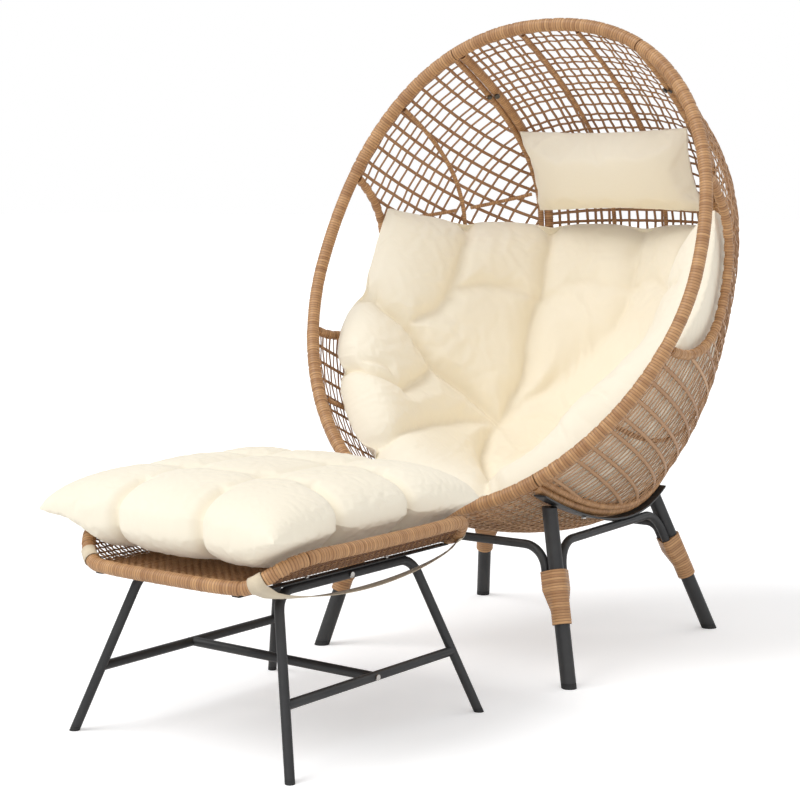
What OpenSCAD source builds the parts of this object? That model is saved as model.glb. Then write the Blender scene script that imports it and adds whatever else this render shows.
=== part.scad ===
// Standing egg chair of woven resin over steel tube, with its loose cushions and matching footstool.
// The chair faces -Y, +Z is up and the floor is at z = 0.

/* [Egg rim] */
// Half width of the rim, to the middle of its tube
rim_half_width = 500; // [460:5:540]
// Length of the rim above its middle, to the middle of its tube
rim_upper_length = 617; // [580:1:650]
// Length of the rim below its middle, to the middle of its tube
rim_lower_length = 569; // [540:1:600]
// Fullness of the upper half of the rim, 2 is an ellipse
rim_upper_fullness = 2.2; // [2:0.05:2.5]
// Fullness of the lower half of the rim, 2 is an ellipse
rim_lower_fullness = 1.86; // [1.8:0.02:2.2]
// Diameter of the wrapped rim tube
rim_tube_d = 30; // [24:1:36]
// Backward lean of the egg
egg_tilt = 25; // [20:1:30]
// Height of the rim's middle above the floor
egg_height = 872; // [860:1:920]
// Distance of the rim's middle in front of the middle of the legs
egg_forward = 113; // [90:1:140]
// How far the top of the rim bows forward of its middle
rim_bow = 45; // [20:1:60]

/* [Woven shell] */
// Depth of the egg behind the rim
shell_depth = 660; // [620:5:690]
// Distance of the deepest point below the rim's middle
shell_drop = 205; // [180:5:230]
// Fullness of the shell across its width
shell_width_fullness = 2.1; // [1.9:0.05:2.3]
// Fullness of the shell over its height
shell_height_fullness = 4; // [3.4:0.1:4.4]
// Fullness of the shell over its depth
shell_depth_fullness = 1.83; // [1.7:0.01:2]
// How much the middle of the shell is lifted
shell_lift = 300; // [200:10:320]
// How much squarer the rings get towards the back
shell_squaring = 1.2; // [0.8:0.1:1.4]
// Thickness of the weave
weave_t = 6; // [4:0.5:8]

/* [Shell tubes] */
// Half width of the middle section, to the middle of its edge tube
seam_x = 238; // [200:1:270]
// Diameter of the wrapped edge tube of the middle section
seam_tube_d = 24; // [20:1:28]
// Diameter of the wrapped edge tube of a side section
side_tube_d = 16; // [12:1:20]
// Distance of each middle rib from the middle plane
middle_rib_x = 75; // [50:1:110]
// Distance of each side rib from the middle plane
side_rib_x = 385; // [330:1:420]
// Diameter of the ribs
rib_d = 12; // [8:1:14]
// Distance of the tubes behind the side windows inside the rim's half width
window_inset = 28; // [20:1:45]
// Diameter of the wrapped tube behind a window
window_tube_d = 20; // [14:1:24]
// Height of the middle cross band above the rim's middle
band_rise = 148; // [108:1:228]
// Height of a side cross band above the rim's middle, at its inner end
side_band_rise = 170; // [150:1:200]
// Height of a side cross band above the rim's middle, at its outer end
side_band_low_rise = 108; // [90:1:140]
// Diameter of the cross band
band_d = 10; // [8:1:12]
// Height of the bolts that join the sections above the rim's middle
seam_bolt_rise = 418; // [370:1:448]
// Diameter of the bolts that join the sections
seam_bolt_d = 6; // [4:1:8]
// Diameter of the bolt heads
seam_bolt_head_d = 14; // [10:1:18]
// Thickness of the bolt heads
seam_bolt_head_t = 4; // [2:0.5:6]

/* [Chair base] */
// Distance of the front feet from the middle plane
front_foot_x = 332; // [300:1:360]
// Distance of the front feet in front of the middle of the legs
front_foot_y = 338; // [310:1:370]
// Distance of the back feet from the middle plane
back_foot_x = 325; // [300:1:350]
// Distance of the back feet behind the middle of the legs
back_foot_y = 338; // [310:1:370]
// Distance of the front leg tops from the middle plane
front_top_x = 234; // [226:1:240]
// Distance of the front leg tops in front of the middle of the legs
front_top_y = 262; // [245:1:270]
// Distance of the back leg tops from the middle plane
back_top_x = 234; // [220:1:250]
// Distance of the back leg tops behind the middle of the legs
back_top_y = 213; // [190:1:235]
// Diameter of the leg tubes
leg_d = 33; // [28:1:38]
// Diameter of the brace tubes
brace_d = 19; // [16:1:22]
// Bend radius of the front brace
front_bend_r = 60; // [50:1:64]
// Bend radius of the side braces
side_bend_r = 70; // [50:1:72]
// Bend radius of the back brace
back_bend_r = 26; // [24:1:28]
// Height of the front brace
front_brace_z = 285; // [276:1:290]
// Depth of the back brace below the shell
back_brace_drop = 7; // [5:1:17]
// Gap between the side braces and the plates above them
side_brace_gap = 2; // [0.5:0.5:12]
// Height of the top of the wrapped sleeves on the front legs
front_sleeve_top_z = 241; // [232:1:246]
// Height of the bottom of the wrapped sleeves on the front legs
front_sleeve_low_z = 126; // [100:1:140]
// Height of the top of the wrapped sleeves on the back legs
back_sleeve_top_z = 235; // [230:1:240]
// Height of the bottom of the wrapped sleeves on the back legs
back_sleeve_low_z = 133; // [100:1:140]
// Height at which the sleeves start to taper
sleeve_mid_z = 200; // [180:1:215]
// Wrap thickness of the sleeves over the leg
sleeve_t = 5; // [3:0.5:7]
// Height of the foot caps
foot_cap_h = 12; // [8:1:18]
// Distance of the plates that carry the shell outside the middle of its edge tubes
plate_offset = 6; // [4:1:10]
// Width of the plates that carry the shell
plate_w = 30; // [26:1:34]
// How far the plates reach in front of the front legs
plate_lead = 40; // [10:5:50]
// Thickness of the plates that carry the shell
plate_t = 4; // [3:0.5:6]
// Diameter of the screw heads under the plates
plate_screw_d = 12; // [8:1:16]
// Thickness of the screw heads under the plates
plate_screw_t = 3; // [2:0.5:5]

/* [Chair cushions] */
// Gap between the seat cushion's edge and the rim, as a share of the way round the egg
cushion_reach = 0.93; // [0.88:0.01:0.95]
// The same share at the wings, which stand further back
wing_reach = 0.85; // [0.8:0.01:0.92]
// Height of the cushion's top edge, behind the back, above the rim's middle
cushion_top_rise = 96; // [68:1:103]
// Height of the cushion's wings, beside the head, above the rim's middle
wing_top_rise = 140; // [113:1:158]
// Fullest thickness of the seat cushion
cushion_t = 125; // [100:1:140]
// Thickness of the seat cushion's sewn edge
cushion_edge_t = 16; // [10:1:24]
// Share of the cushion's half width between one channel and the next
channel_step = 0.36; // [0.3:0.01:0.4]
// Share of the cushion's length at which the row of tufts runs
tuft_row = 0.8; // [0.74:0.01:0.84]
// Share of the cushion's length at which it folds behind the seat
seat_fold = 0.5; // [0.44:0.01:0.54]
// Length of the head pillow
pillow_l = 470; // [420:5:500]
// Height of the head pillow
pillow_h = 225; // [200:5:240]
// Thickness of the head pillow
pillow_t = 105; // [80:1:120]
// Height of the middle of the head pillow above the rim's middle
pillow_rise = 225; // [220:1:238]
// Distance of the middle of the head pillow in front of the weave
pillow_stand = 120.7; // [112:1:138]
// Forward lean of the head pillow
pillow_lean = 27; // [16:1:30]

/* [Footstool] */
// Distance of the footstool's middle in front of the middle of the chair's legs
stool_forward = 885; // [870:1:920]
// Sideways place of the footstool's middle
stool_x = -10; // [-40:1:40]
// How far the footstool stands turned from the chair
stool_turn = -1.7; // [-5:0.1:5]
// Half width of the woven frame, to the middle of its tube
stool_half_w = 288; // [270:1:300]
// Half depth of the woven frame, to the middle of its tube
stool_half_l = 328; // [310:1:340]
// Corner fullness of the woven frame, 2 is an ellipse
stool_fullness = 4.1; // [3.6:0.1:5]
// Diameter of the wrapped frame tube
stool_rail_d = 27; // [22:1:32]
// Rise of the side rails over the front and back rails
stool_rise = 56; // [40:1:60]
// Thickness of the woven seat
net_t = 5; // [3:0.5:8]
// How far the woven seat sags below the front rail's middle
net_sag = 2; // [0:0.5:4]
// Distance of the footstool's feet from its middle, sideways
stool_foot_x = 277; // [260:1:300]
// Distance of the footstool's feet from its middle, front to back
stool_foot_y = 293; // [270:1:310]
// Sideways lean of the leg frames, per length of height
stool_lean_x = 0.326; // [0.28:0.002:0.35]
// Front to back lean of the legs, per length of height
stool_lean_y = 0.285; // [0.25:0.005:0.32]
// Diameter of the leg frame tubes
stool_tube_d = 19; // [16:1:22]
// Bend radius of the leg frames
stool_bend_r = 48; // [40:1:60]
// Height of the leg frames' top bars
stool_bar_z = 318; // [300:1:330]
// Height of the lower bars and the stretcher
stool_low_z = 127; // [100:1:150]
// Height of the foot caps
stool_cap_h = 9; // [6:1:14]
// Width of the flat strips that carry the woven frame
strip_w = 18; // [14:1:24]
// Thickness of the flat strips
strip_t = 2.5; // [2:0.5:4]
// Diameter of the footstool's bolt heads
stool_bolt_d = 12; // [8:1:14]
// Thickness of the footstool's bolt heads
stool_bolt_t = 3; // [2:0.5:4]
// Width of the cushion straps
strap_w = 22; // [16:1:26]
// Thickness of the cushion straps
strap_t = 1.6; // [1:0.1:3]
// Sideways place of the cushion straps, from the footstool's middle
strap_x = 212; // [206:1:220]
// Height of the lowest run of the straps
strap_low_z = 300; // [292:1:308]
// Half width of the footstool cushion
stool_cushion_half_w = 310; // [300:1:330]
// Half depth of the footstool cushion
stool_cushion_half_l = 322; // [310:1:340]
// Sideways place of the cushion on the footstool
stool_cushion_x = -32; // [-40:1:40]
// Place of the cushion on the footstool, front to back
stool_cushion_y = -10; // [-20:1:20]
// Height of the footstool cushion's sewn edge
stool_cushion_edge_z = 436; // [430:1:450]
// Height of the footstool cushion's crown
stool_cushion_top_z = 518; // [500:1:535]
// Thickness of the footstool cushion's sewn edge
stool_cushion_edge_t = 14; // [8:1:20]
// Distance of the footstool cushion's tufts from its middle
tuft_offset = 104; // [90:1:130]

/* [Hidden] */

// Clearance between pieces that lie against each other
fit = 0.3;
// Gap where two lengths of rim tube meet
joint_gap = 0.6;
// Room for the flat facets of two curved pieces that lie along each other
facet_room = 0.6;
// Height over which the rim's bow is given
bow_span = 617;
// Sides of the tubes that follow a free curve
tube_sides = 10;
thin_sides = 6;
// Smallest distance from the middle plane at which a ring of the shell is worked out
least_x = 0.5;
// Step used to find a slope, along the curve and across it
slope_s = 0.01;
slope_x = 1;
// Spread of the points along a shell curve
point_spread = 1.25;
exact = 64;
bar_turn = 45;
// How much rounder a bend is than its straight runs, and how far they reach into it
bend_swell = 0.15;
bend_lap = 1;

rattan = "#c69256";
rattan_dark = "#8a5a34";
black = "#242424";
cream = "#f4ead2";
steel = "#b9bcc0";

window_x = rim_half_width - window_inset;
band_z = egg_height + band_rise;
side_band_z = egg_height + side_band_rise;
side_band_low_z = egg_height + side_band_low_rise;
seam_bolt_z = egg_height + seam_bolt_rise;
plate_x = seam_x + plate_offset;
cushion_top_z = egg_height + cushion_top_rise;
wing_top_z = egg_height + wing_top_rise;
pillow_z = egg_height + pillow_rise;

rim_r = rim_tube_d / 2;
seam_r = seam_tube_d / 2;
side_r = side_tube_d / 2;
rib_r = rib_d / 2;
window_r = window_tube_d / 2;
band_r = band_d / 2;
leg_r = leg_d / 2;
brace_r = brace_d / 2;
rail_r = stool_rail_d / 2;
stool_r = stool_tube_d / 2;

// ---- small helpers ----

function spow(x, e) = sign(x) * pow(abs(x), e);
function unit(v) = v / norm(v);
function flat_list(rows) = [for (row = rows) each row];
function ease(x) = let (t = min(1, max(0, x))) t * t * (3 - 2 * t);
function bump(x, middle, width) = exp(-pow((x - middle) / width, 2));
function mirror_x(p) = [-p[0], p[1], p[2]];
function between(a, b, w) = a + (b - a) * w;

// ---- the egg: rim and shell ----

egg_middle = [0, -egg_forward, egg_height];
egg_up = [0, sin(egg_tilt), cos(egg_tilt)];
egg_back = [0, cos(egg_tilt), -sin(egg_tilt)];
// A place inside the egg that every part of the shell faces
egg_heart = egg_middle + 220 * egg_back - 60 * egg_up;

function bow(v) = [0, -rim_bow * pow(v / bow_span, 2), 0];
function fullness(upper, f) =
    (upper ? rim_upper_fullness : rim_lower_fullness) + shell_squaring * pow(sin(f), 2);
function width_scale(f) = pow(cos(f), 2 / shell_width_fullness);
function height_scale(f) = pow(cos(f), 2 / shell_height_fullness);
function depth_at(f) = shell_depth * pow(sin(f), 2 / shell_depth_fullness);

// Point on the shell at distance x from the middle plane, on the ring at angle f behind the rim
function ring_point(x, f, upper) =
    let (
        n = fullness(upper, f),
        ax = max(abs(x), least_x),
        c = min(1, ax / (rim_half_width * width_scale(f))),
        t = acos(min(1, pow(c, n / 2))),
        reach = upper ? rim_upper_length : -rim_lower_length,
        a = height_scale(f),
        v = reach * pow(sin(t), 2 / n),
        w = a * v - shell_drop * (1 - a) + shell_lift * a * (1 - a)
    )
    egg_middle + [x, 0, 0] + w * egg_up + depth_at(f) * egg_back + bow(a * v);

// Ring angle at which the shell is a given depth behind the rim
function angle_at_depth(d) = asin(pow(d / shell_depth, shell_depth_fullness / 2));
// Ring angle at which the shell is no wider than x
function last_angle(x) =
    acos(pow(min(1, max(abs(x), least_x) / rim_half_width), shell_width_fullness / 2));

start_angle = angle_at_depth(rim_r + 2 * fit);

// The shell's curve at distance x: s is 1 at the top of the rim, 0 at the back, -1 at the bottom
function shell_point(x, s) =
    let (f = start_angle + (last_angle(x) - start_angle) * (1 - s * s))
    ring_point(x, max(0.01, f), s >= 0);

function inward(x, s) =
    let (
        p = shell_point(x, s),
        a = shell_point(x + slope_x, s) - shell_point(x - slope_x, s),
        b = shell_point(x, s + slope_s) - shell_point(x, s - slope_s),
        n = unit(cross(a, b))
    )
    n * (egg_heart - p) > 0 ? n : -n;

// Point that lies a distance inside the shell's middle surface
function lined_point(x, s, inside) = shell_point(x, s) + inside * inward(x, s);

function spread(j, n) = spow(j / n, point_spread);

// Place on a shell curve at a given height, over its upper half
function place_at_height(x, z, low = 0, high = 1, steps = 24) =
    steps == 0 ? (low + high) / 2
    : let (mid = (low + high) / 2)
      shell_point(x, mid)[2] < z ? place_at_height(x, z, mid, high, steps - 1)
      : place_at_height(x, z, low, mid, steps - 1);

// Place on a shell curve at a given y, over its lower half
function place_at_depth(x, y, low = -1, high = 0, steps = 24) =
    steps == 0 ? (low + high) / 2
    : let (mid = (low + high) / 2)
      shell_point(x, mid)[1] < y ? place_at_depth(x, y, mid, high, steps - 1)
      : place_at_depth(x, y, low, mid, steps - 1);

function rim_point(t) =
    let (
        upper = sin(t) >= 0,
        n = upper ? rim_upper_fullness : rim_lower_fullness,
        v = (upper ? rim_upper_length : rim_lower_length) * spow(sin(t), 2 / n)
    )
    egg_middle + [rim_half_width * spow(cos(t), 2 / n), 0, 0] + v * egg_up + bow(v);

function rim_angle(x, upper) =
    let (n = upper ? rim_upper_fullness : rim_lower_fullness)
    (upper ? 1 : -1) * acos(pow(x / rim_half_width, n / 2));

// The rim is cut where the middle section meets the side sections
section_x = seam_x + seam_r;
upper_cut = rim_angle(section_x, true);
lower_cut = rim_angle(section_x, false);
cut_angle = joint_gap / rim_half_width * 180 / PI / 2;

// The whole set is centred on its origin
shell_back_y = max([for (j = [0:60]) shell_point(0, j / 60)[1]]) + weave_t / 2;
stool_front_y = -stool_forward
    + min([for (side = [-1, 1])
        (stool_cushion_x + side * stool_cushion_half_w) * sin(stool_turn)
            + (stool_cushion_y - stool_cushion_half_l) * cos(stool_turn)]);
set_middle_y = (shell_back_y + stool_front_y) / 2;

module placed() {
    translate([0, -set_middle_y, 0]) children();
}

// The footstool's pieces are drawn about its own middle
module placed_stool() {
    placed() translate([stool_x, -stool_forward, 0]) rotate([0, 0, stool_turn]) children();
}

// ---- solids from grids of points ----

function grid_faces(rows, cols, base, turned) =
    [for (i = [0:rows - 2], j = [0:cols - 2], k = [0:1])
        let (
            a = base + i * cols + j,
            b = a + cols,
            face = k == 0 ? [a, b, b + 1] : [a, b + 1, a + 1]
        )
        turned ? [face[2], face[1], face[0]] : face];

function edge_faces(loop, other) =
    [for (k = [0:len(loop) - 1], h = [0:1])
        let (n = (k + 1) % len(loop))
        h == 0 ? [loop[k], other[k], other[n]] : [loop[k], other[n], loop[n]]];

// Closed solid between two grids of points with the same rows and columns
module slab(front, back) {
    rows = len(front);
    cols = len(front[0]);
    size = rows * cols;
    loop = concat([for (j = [0:cols - 1]) j],
        [for (i = [1:rows - 1]) i * cols + cols - 1],
        [for (j = [cols - 2:-1:0]) (rows - 1) * cols + j],
        [for (i = [rows - 2:-1:1]) i * cols]);
    other = [for (k = loop) k + size];
    polyhedron(
        points = concat(flat_list(front), flat_list(back)),
        faces = concat(grid_faces(rows, cols, 0, true), grid_faces(rows, cols, size, false),
            edge_faces(loop, other)),
        convexity = 6);
}

// Round tube along a free path. across is a direction that the path never follows.
// With guides, the first and last points only set the directions of the tube's ends.
module swept_tube(path, r, across, sides = tube_sides, guides = false) {
    skip = guides ? 1 : 0;
    end = len(path) - 1;
    last = end - 2 * skip;
    rings = [for (k = [skip:end - skip])
        let (
            along = unit(path[min(end, k + 1)] - path[max(0, k - 1)]),
            side = unit(cross(along, across)),
            up = cross(side, along)
        )
        [for (m = [0:sides - 1])
            path[k] + r * (cos(360 * m / sides) * side + sin(360 * m / sides) * up)]];
    polyhedron(
        points = flat_list(rings),
        faces = concat(
            [[for (m = [0:sides - 1]) m]],
            [[for (m = [sides - 1:-1:0]) last * sides + m]],
            [for (k = [0:last - 1], m = [0:sides - 1], h = [0:1])
                let (
                    a = k * sides + m,
                    b = k * sides + (m + 1) % sides,
                    c = a + sides,
                    d = b + sides
                )
                h == 0 ? [a, c, d] : [a, d, b]]),
        convexity = 6);
}

// Straight round bar between two points, turned about its own length so that its seam lies
// to one side of the way that it leans
module bar(p, q, r) {
    d = q - p;
    translate(p)
        rotate([0, acos(d[2] / norm(d)), atan2(d[1], d[0])])
            rotate([0, 0, bar_turn]) cylinder(h = norm(d), r = r, $fn = exact);
}

// Round tube along straight runs, bent to a radius at each inner point.
// A bend is a little rounder than the straight runs, which reach a short way into it.
module bent_tube(points, r, bend_r) {
    last = len(points) - 1;
    dirs = [for (k = [0:last - 1]) unit(points[k + 1] - points[k])];
    turns = [for (k = [1:last - 1]) acos(dirs[k - 1] * dirs[k])];
    cuts = concat([0], [for (turn = turns) bend_r * tan(turn / 2) - bend_lap], [0]);
    for (k = [0:last - 1])
        bar(points[k] + cuts[k] * dirs[k], points[k + 1] - cuts[k + 1] * dirs[k], r);
    for (k = [1:last - 1]) {
        a = dirs[k - 1];
        turn = turns[k - 1];
        middle = points[k] + unit(dirs[k] - a) * bend_r / cos(turn / 2);
        u = unit(points[k] - (cuts[k] + bend_lap) * a - middle);
        w = cross(u, a);
        multmatrix([[u[0], a[0], w[0], middle[0]], [u[1], a[1], w[1], middle[1]],
            [u[2], a[2], w[2], middle[2]], [0, 0, 0, 1]])
            rotate_extrude(angle = turn, $fn = 2 * exact)
                translate([bend_r, 0]) circle(r = r + bend_swell, $fn = exact);
    }
}

// ---- egg modules ----

module rim_length(from, to, count) {
    color(rattan)
        swept_tube([for (k = [-1:count + 1]) rim_point(from + (to - from) * k / count)],
            rim_r, egg_back, guides = true);
}

module rim_top() {
    rim_length(upper_cut + cut_angle, 180 - upper_cut - cut_angle, 12);
}

module rim_front() {
    rim_length(-180 - lower_cut + cut_angle, lower_cut - cut_angle, 14);
}

module rim_right() {
    rim_length(lower_cut + cut_angle, upper_cut - cut_angle, 24);
}

module rim_left() {
    mirror([1, 0, 0]) rim_right();
}

// Rows of facets along the shell, the same for every piece, so that they lie along each other
shell_rows = 15;
shell_places = [for (j = [-shell_rows:shell_rows]) spread(j, shell_rows)];

function shell_curve(x, inside = 0) = [for (s = shell_places) lined_point(x, s, inside)];
// Curve on the shell that runs a given distance beside the curve at x
function beside_curve(x, distance, inside = 0) =
    [for (s = shell_places)
        lined_point(x, s, inside)
            + distance * unit(shell_point(x + slope_x, s) - shell_point(x - slope_x, s))];
function mirrored(curve) = [for (p = curve) mirror_x(p)];

// Distance between curved pieces that lie side by side in the shell
side_gap = fit + facet_room;
// Distances of the pieces' edges and middles from the middle of the center tube
panel_offset = seam_r + side_gap;
side_tube_offset = seam_r + side_gap + side_r;
side_panel_offset = side_tube_offset + side_r + side_gap;
center_panel_x = seam_x - panel_offset;
side_panel_x = seam_x + side_panel_offset;
side_panel_end = between(side_rib_x, window_x, 0.75);

// Woven panels have a column of points along each rib, so that the rib lies flat on them
module center_panel() {
    half = [middle_rib_x / 2, middle_rib_x, between(middle_rib_x, center_panel_x, 1 / 3),
        between(middle_rib_x, center_panel_x, 2 / 3)];
    function face(inside) =
        let (
            edge = beside_curve(seam_x, -panel_offset, inside),
            curves = [for (x = half) shell_curve(x, inside)]
        )
        concat([mirrored(edge)], [for (k = [3:-1:0]) mirrored(curves[k])],
            [shell_curve(0, inside)], curves, [edge]);
    color(rattan_dark) slab(face(-weave_t / 2), face(weave_t / 2));
}

module right_panel() {
    xs = [between(side_panel_x, side_rib_x, 1 / 3), between(side_panel_x, side_rib_x, 2 / 3),
        side_rib_x, between(side_rib_x, window_x, 0.4), side_panel_end];
    function face(inside) =
        concat([beside_curve(seam_x, side_panel_offset, inside)],
            [for (x = xs) shell_curve(x, inside)],
            [beside_curve(window_x, -window_r - side_gap, inside)]);
    color(rattan_dark) slab(face(-weave_t / 2), face(weave_t / 2));
}

module left_panel() {
    mirror([1, 0, 0]) right_panel();
}

module shell_tube(curve, r, sides) {
    color(rattan) swept_tube(curve, r, [1, 0, 0], sides);
}

// Ribs lie against the inside of the weave
rib_inside = weave_t / 2 + rib_r + fit;
center_band_inside = weave_t / 2 + band_r + 5.5 * facet_room;
side_band_inside = weave_t / 2 + band_r + fit + 2 * facet_room;

module center_tube_right() {
    shell_tube(shell_curve(seam_x), seam_r, 8);
}

module center_tube_left() {
    mirror([1, 0, 0]) center_tube_right();
}

module side_tube_right() {
    shell_tube(beside_curve(seam_x, side_tube_offset), side_r, 8);
}

module side_tube_left() {
    mirror([1, 0, 0]) side_tube_right();
}

module center_rib_right() {
    shell_tube(shell_curve(middle_rib_x, rib_inside), rib_r, thin_sides);
}

module center_rib_left() {
    mirror([1, 0, 0]) center_rib_right();
}

module side_rib_right() {
    shell_tube(shell_curve(side_rib_x, rib_inside), rib_r, thin_sides);
}

module side_rib_left() {
    mirror([1, 0, 0]) side_rib_right();
}

module window_tube_right() {
    // It meets the rim at a slant, so it ends a little short of it
    shell_tube([for (s = shell_places) shell_point(window_x, 0.997 * s)], window_r, 8);
}

module window_tube_left() {
    mirror([1, 0, 0]) window_tube_right();
}

// Height of a side band at a distance from the middle plane
function side_band_height(x) =
    between(side_band_z, side_band_low_z, (x - side_panel_x) / (side_panel_end - side_panel_x));

// One length of a cross band, between two distances from the middle plane
module band_length(x_from, x_to, z_from, z_to, inside) {
    count = 4;
    swept_tube([for (k = [0:count])
        let (x = between(x_from, x_to, k / count))
        lined_point(x, place_at_height(x, between(z_from, z_to, k / count)), inside)],
        band_r, [0, 0, 1], thin_sides);
}

// Room that a band leaves beside a rib that it meets
rib_room = rib_r + fit;

module center_band() {
    color(rattan_dark) {
        band_length(-center_panel_x, -middle_rib_x - rib_room, band_z, band_z, center_band_inside);
        band_length(-middle_rib_x + rib_room, middle_rib_x - rib_room, band_z, band_z,
            center_band_inside);
        band_length(middle_rib_x + rib_room, center_panel_x, band_z, band_z, center_band_inside);
    }
}

module right_band() {
    color(rattan_dark) {
        inner = side_rib_x - 1.6 * rib_room;
        outer = side_rib_x + 1.6 * rib_room;
        band_length(side_panel_x, inner, side_band_z, side_band_height(inner), side_band_inside);
        band_length(outer, side_panel_end, side_band_height(outer), side_band_low_z,
            side_band_inside);
    }
}

module left_band() {
    mirror([1, 0, 0]) right_band();
}

// Bolts that hold the edge tubes of two sections together, with a head and a nut inside the egg
module seam_bolts() {
    s = place_at_height(seam_x, seam_bolt_z);
    bolt_side_x = seam_x + seam_r + side_r / 2;
    p = lined_point(seam_x, s, seam_r + fit);
    q = lined_point(bolt_side_x, s, side_r + fit);
    color(black)
        for (side = [0, 1]) mirror([side, 0, 0]) {
            bar(p, p + seam_bolt_head_t * inward(seam_x, s), seam_bolt_head_d / 2);
            bar(q, q + seam_bolt_head_t * inward(bolt_side_x, s), seam_bolt_d);
        }
}

// ---- chair base ----

plate_top_drop = seam_r + fit + 4.5 * facet_room;
plate_front_y = -front_top_y - leg_r - plate_lead;
plate_back_y = back_top_y + leg_r;

// Height of the plate's underside at a given y
function plate_under(y) =
    shell_point(seam_x, place_at_depth(seam_x, y))[2] - plate_top_drop - plate_t;

// The braces at the sides and back keep clear of what they run beneath
side_brace_z = min([for (y = [plate_front_y:10:plate_back_y]) plate_under(y)])
    - brace_r - side_brace_gap;
back_brace_z = shell_point(0, place_at_depth(0, back_top_y))[2] - weave_t / 2 - back_brace_drop;

// Height of the plate's underside over a round piece that stands beneath it
function plate_low(y, r) = min(plate_under(y - r), plate_under(y + r)) - fit;

front_foot = [front_foot_x, -front_foot_y, 0];
back_foot = [back_foot_x, back_foot_y, 0];
front_top = [front_top_x, -front_top_y, plate_low(-front_top_y, leg_r)];
back_top = [back_top_x, back_top_y, plate_low(back_top_y, leg_r)];

function leg_point(foot, top, z) = foot + (top - foot) * z / top[2];

// Plate bent to follow the underside of the middle section's edge tube
module plate_right() {
    count = 14;
    function drop(y, d) = [0, y, shell_point(seam_x, place_at_depth(seam_x, y))[2] - d];
    ys = [for (k = [0:count]) plate_front_y + (plate_back_y - plate_front_y) * k / count];
    inner = plate_x - plate_w / 2;
    outer = plate_x + plate_w / 2;
    rows_top = [for (x = [inner, outer]) [for (y = ys) [x, 0, 0] + drop(y, plate_top_drop)]];
    rows_low = [for (x = [inner, outer])
        [for (y = ys) [x, 0, 0] + drop(y, plate_top_drop + plate_t)]];
    color(black) slab(rows_low, rows_top);
}

module plate_left() {
    mirror([1, 0, 0]) plate_right();
}

// Screw heads under the plates, one between each leg and the middle of the plate
module plate_screws() {
    color(steel)
        for (side = [0, 1], y = [-front_top_y / 2, back_top_y / 2])
            mirror([side, 0, 0])
                translate([plate_x, y, plate_low(y, plate_screw_d / 2) - plate_screw_t])
                    cylinder(h = plate_screw_t, d = plate_screw_d, $fn = exact);
}

// The part of a shape between two heights
module between_heights(low, high) {
    reach = 4000;
    intersection() {
        children();
        translate([-reach / 2, -reach / 2, low]) cube([reach, reach, high - low]);
    }
}

module leg(foot, top) {
    color(black)
        between_heights(foot_cap_h + fit, top[2])
            bar(leg_point(foot, top, -leg_d), leg_point(foot, top, top[2] + leg_d), leg_r);
}

module front_leg_right() {
    leg(front_foot, front_top);
}

module front_leg_left() {
    mirror([1, 0, 0]) front_leg_right();
}

module back_leg_right() {
    leg(back_foot, back_top);
}

module back_leg_left() {
    mirror([1, 0, 0]) back_leg_right();
}

module foot_caps() {
    color("#161616")
        for (side = [0, 1])
            mirror([side, 0, 0]) {
                between_heights(0, foot_cap_h)
                    bar(leg_point(front_foot, front_top, -leg_d),
                        leg_point(front_foot, front_top, leg_d), leg_r);
                between_heights(0, foot_cap_h)
                    bar(leg_point(back_foot, back_top, -leg_d),
                        leg_point(back_foot, back_top, leg_d), leg_r);
            }
}

// A brace lies against the leg, on the side that faces the next leg
brace_offset = leg_r + brace_r + fit;
function brace_side(foot, top, towards) =
    let (d = unit(top - foot)) unit(towards - (towards * d) * d);
function brace_point(foot, top, towards, z) =
    let (
        d = unit(top - foot),
        e = brace_side(foot, top, towards)
    )
    leg_point(foot, top, z) + brace_offset * e - d * (brace_offset * e[2]) / d[2];

module cross_brace(foot, top, z, bend_r) {
    low = brace_point(foot, top, [-1, 0, 0], sleeve_mid_z);
    corner = brace_point(foot, top, [-1, 0, 0], z);
    color(black) bent_tube([mirror_x(low), mirror_x(corner), corner, low], brace_r, bend_r);
}

module front_brace() {
    cross_brace(front_foot, front_top, front_brace_z, front_bend_r);
}

module back_brace() {
    cross_brace(back_foot, back_top, back_brace_z, back_bend_r);
}

module right_brace() {
    color(black)
        bent_tube([brace_point(front_foot, front_top, [0, 1, 0], sleeve_mid_z),
            brace_point(front_foot, front_top, [0, 1, 0], side_brace_z),
            brace_point(back_foot, back_top, [0, -1, 0], side_brace_z),
            brace_point(back_foot, back_top, [0, -1, 0], sleeve_mid_z)], brace_r, side_bend_r);
}

module left_brace() {
    mirror([1, 0, 0]) right_brace();
}

// Wound sleeve over a leg and the ends of its two braces
module sleeve(foot, top, towards, low_z, high_z) {
    low = leg_point(foot, top, low_z);
    mid = leg_point(foot, top, sleeve_mid_z);
    high = leg_point(foot, top, high_z);
    d = unit(top - foot);
    sides = [[-1, 0, 0], towards];
    function beside(p, side) = p + brace_offset * brace_side(foot, top, side);
    color(rattan)
        difference() {
            hull() {
                bar(low, high, leg_r + sleeve_t, $fn = 32);
                for (side = sides)
                    bar(beside(mid, side), beside(high, side), brace_r + sleeve_t / 2, $fn = 24);
            }
            bar(low - leg_d * d, high + leg_d * d, leg_r + fit);
            for (side = sides)
                bar(beside(mid, side) - fit * 4 * d - brace_r * d, beside(high, side) + leg_d * d,
                    brace_r + fit);
        }
}

module front_sleeve_right() {
    sleeve(front_foot, front_top, [0, 1, 0], front_sleeve_low_z, front_sleeve_top_z);
}

module front_sleeve_left() {
    mirror([1, 0, 0]) front_sleeve_right();
}

module back_sleeve_right() {
    sleeve(back_foot, back_top, [0, -1, 0], back_sleeve_low_z, back_sleeve_top_z);
}

module back_sleeve_left() {
    mirror([1, 0, 0]) back_sleeve_right();
}

// ---- chair cushions ----

pillow_y = shell_point(0, place_at_height(0, pillow_z))[1] - weave_t / 2 - pillow_stand;
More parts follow.
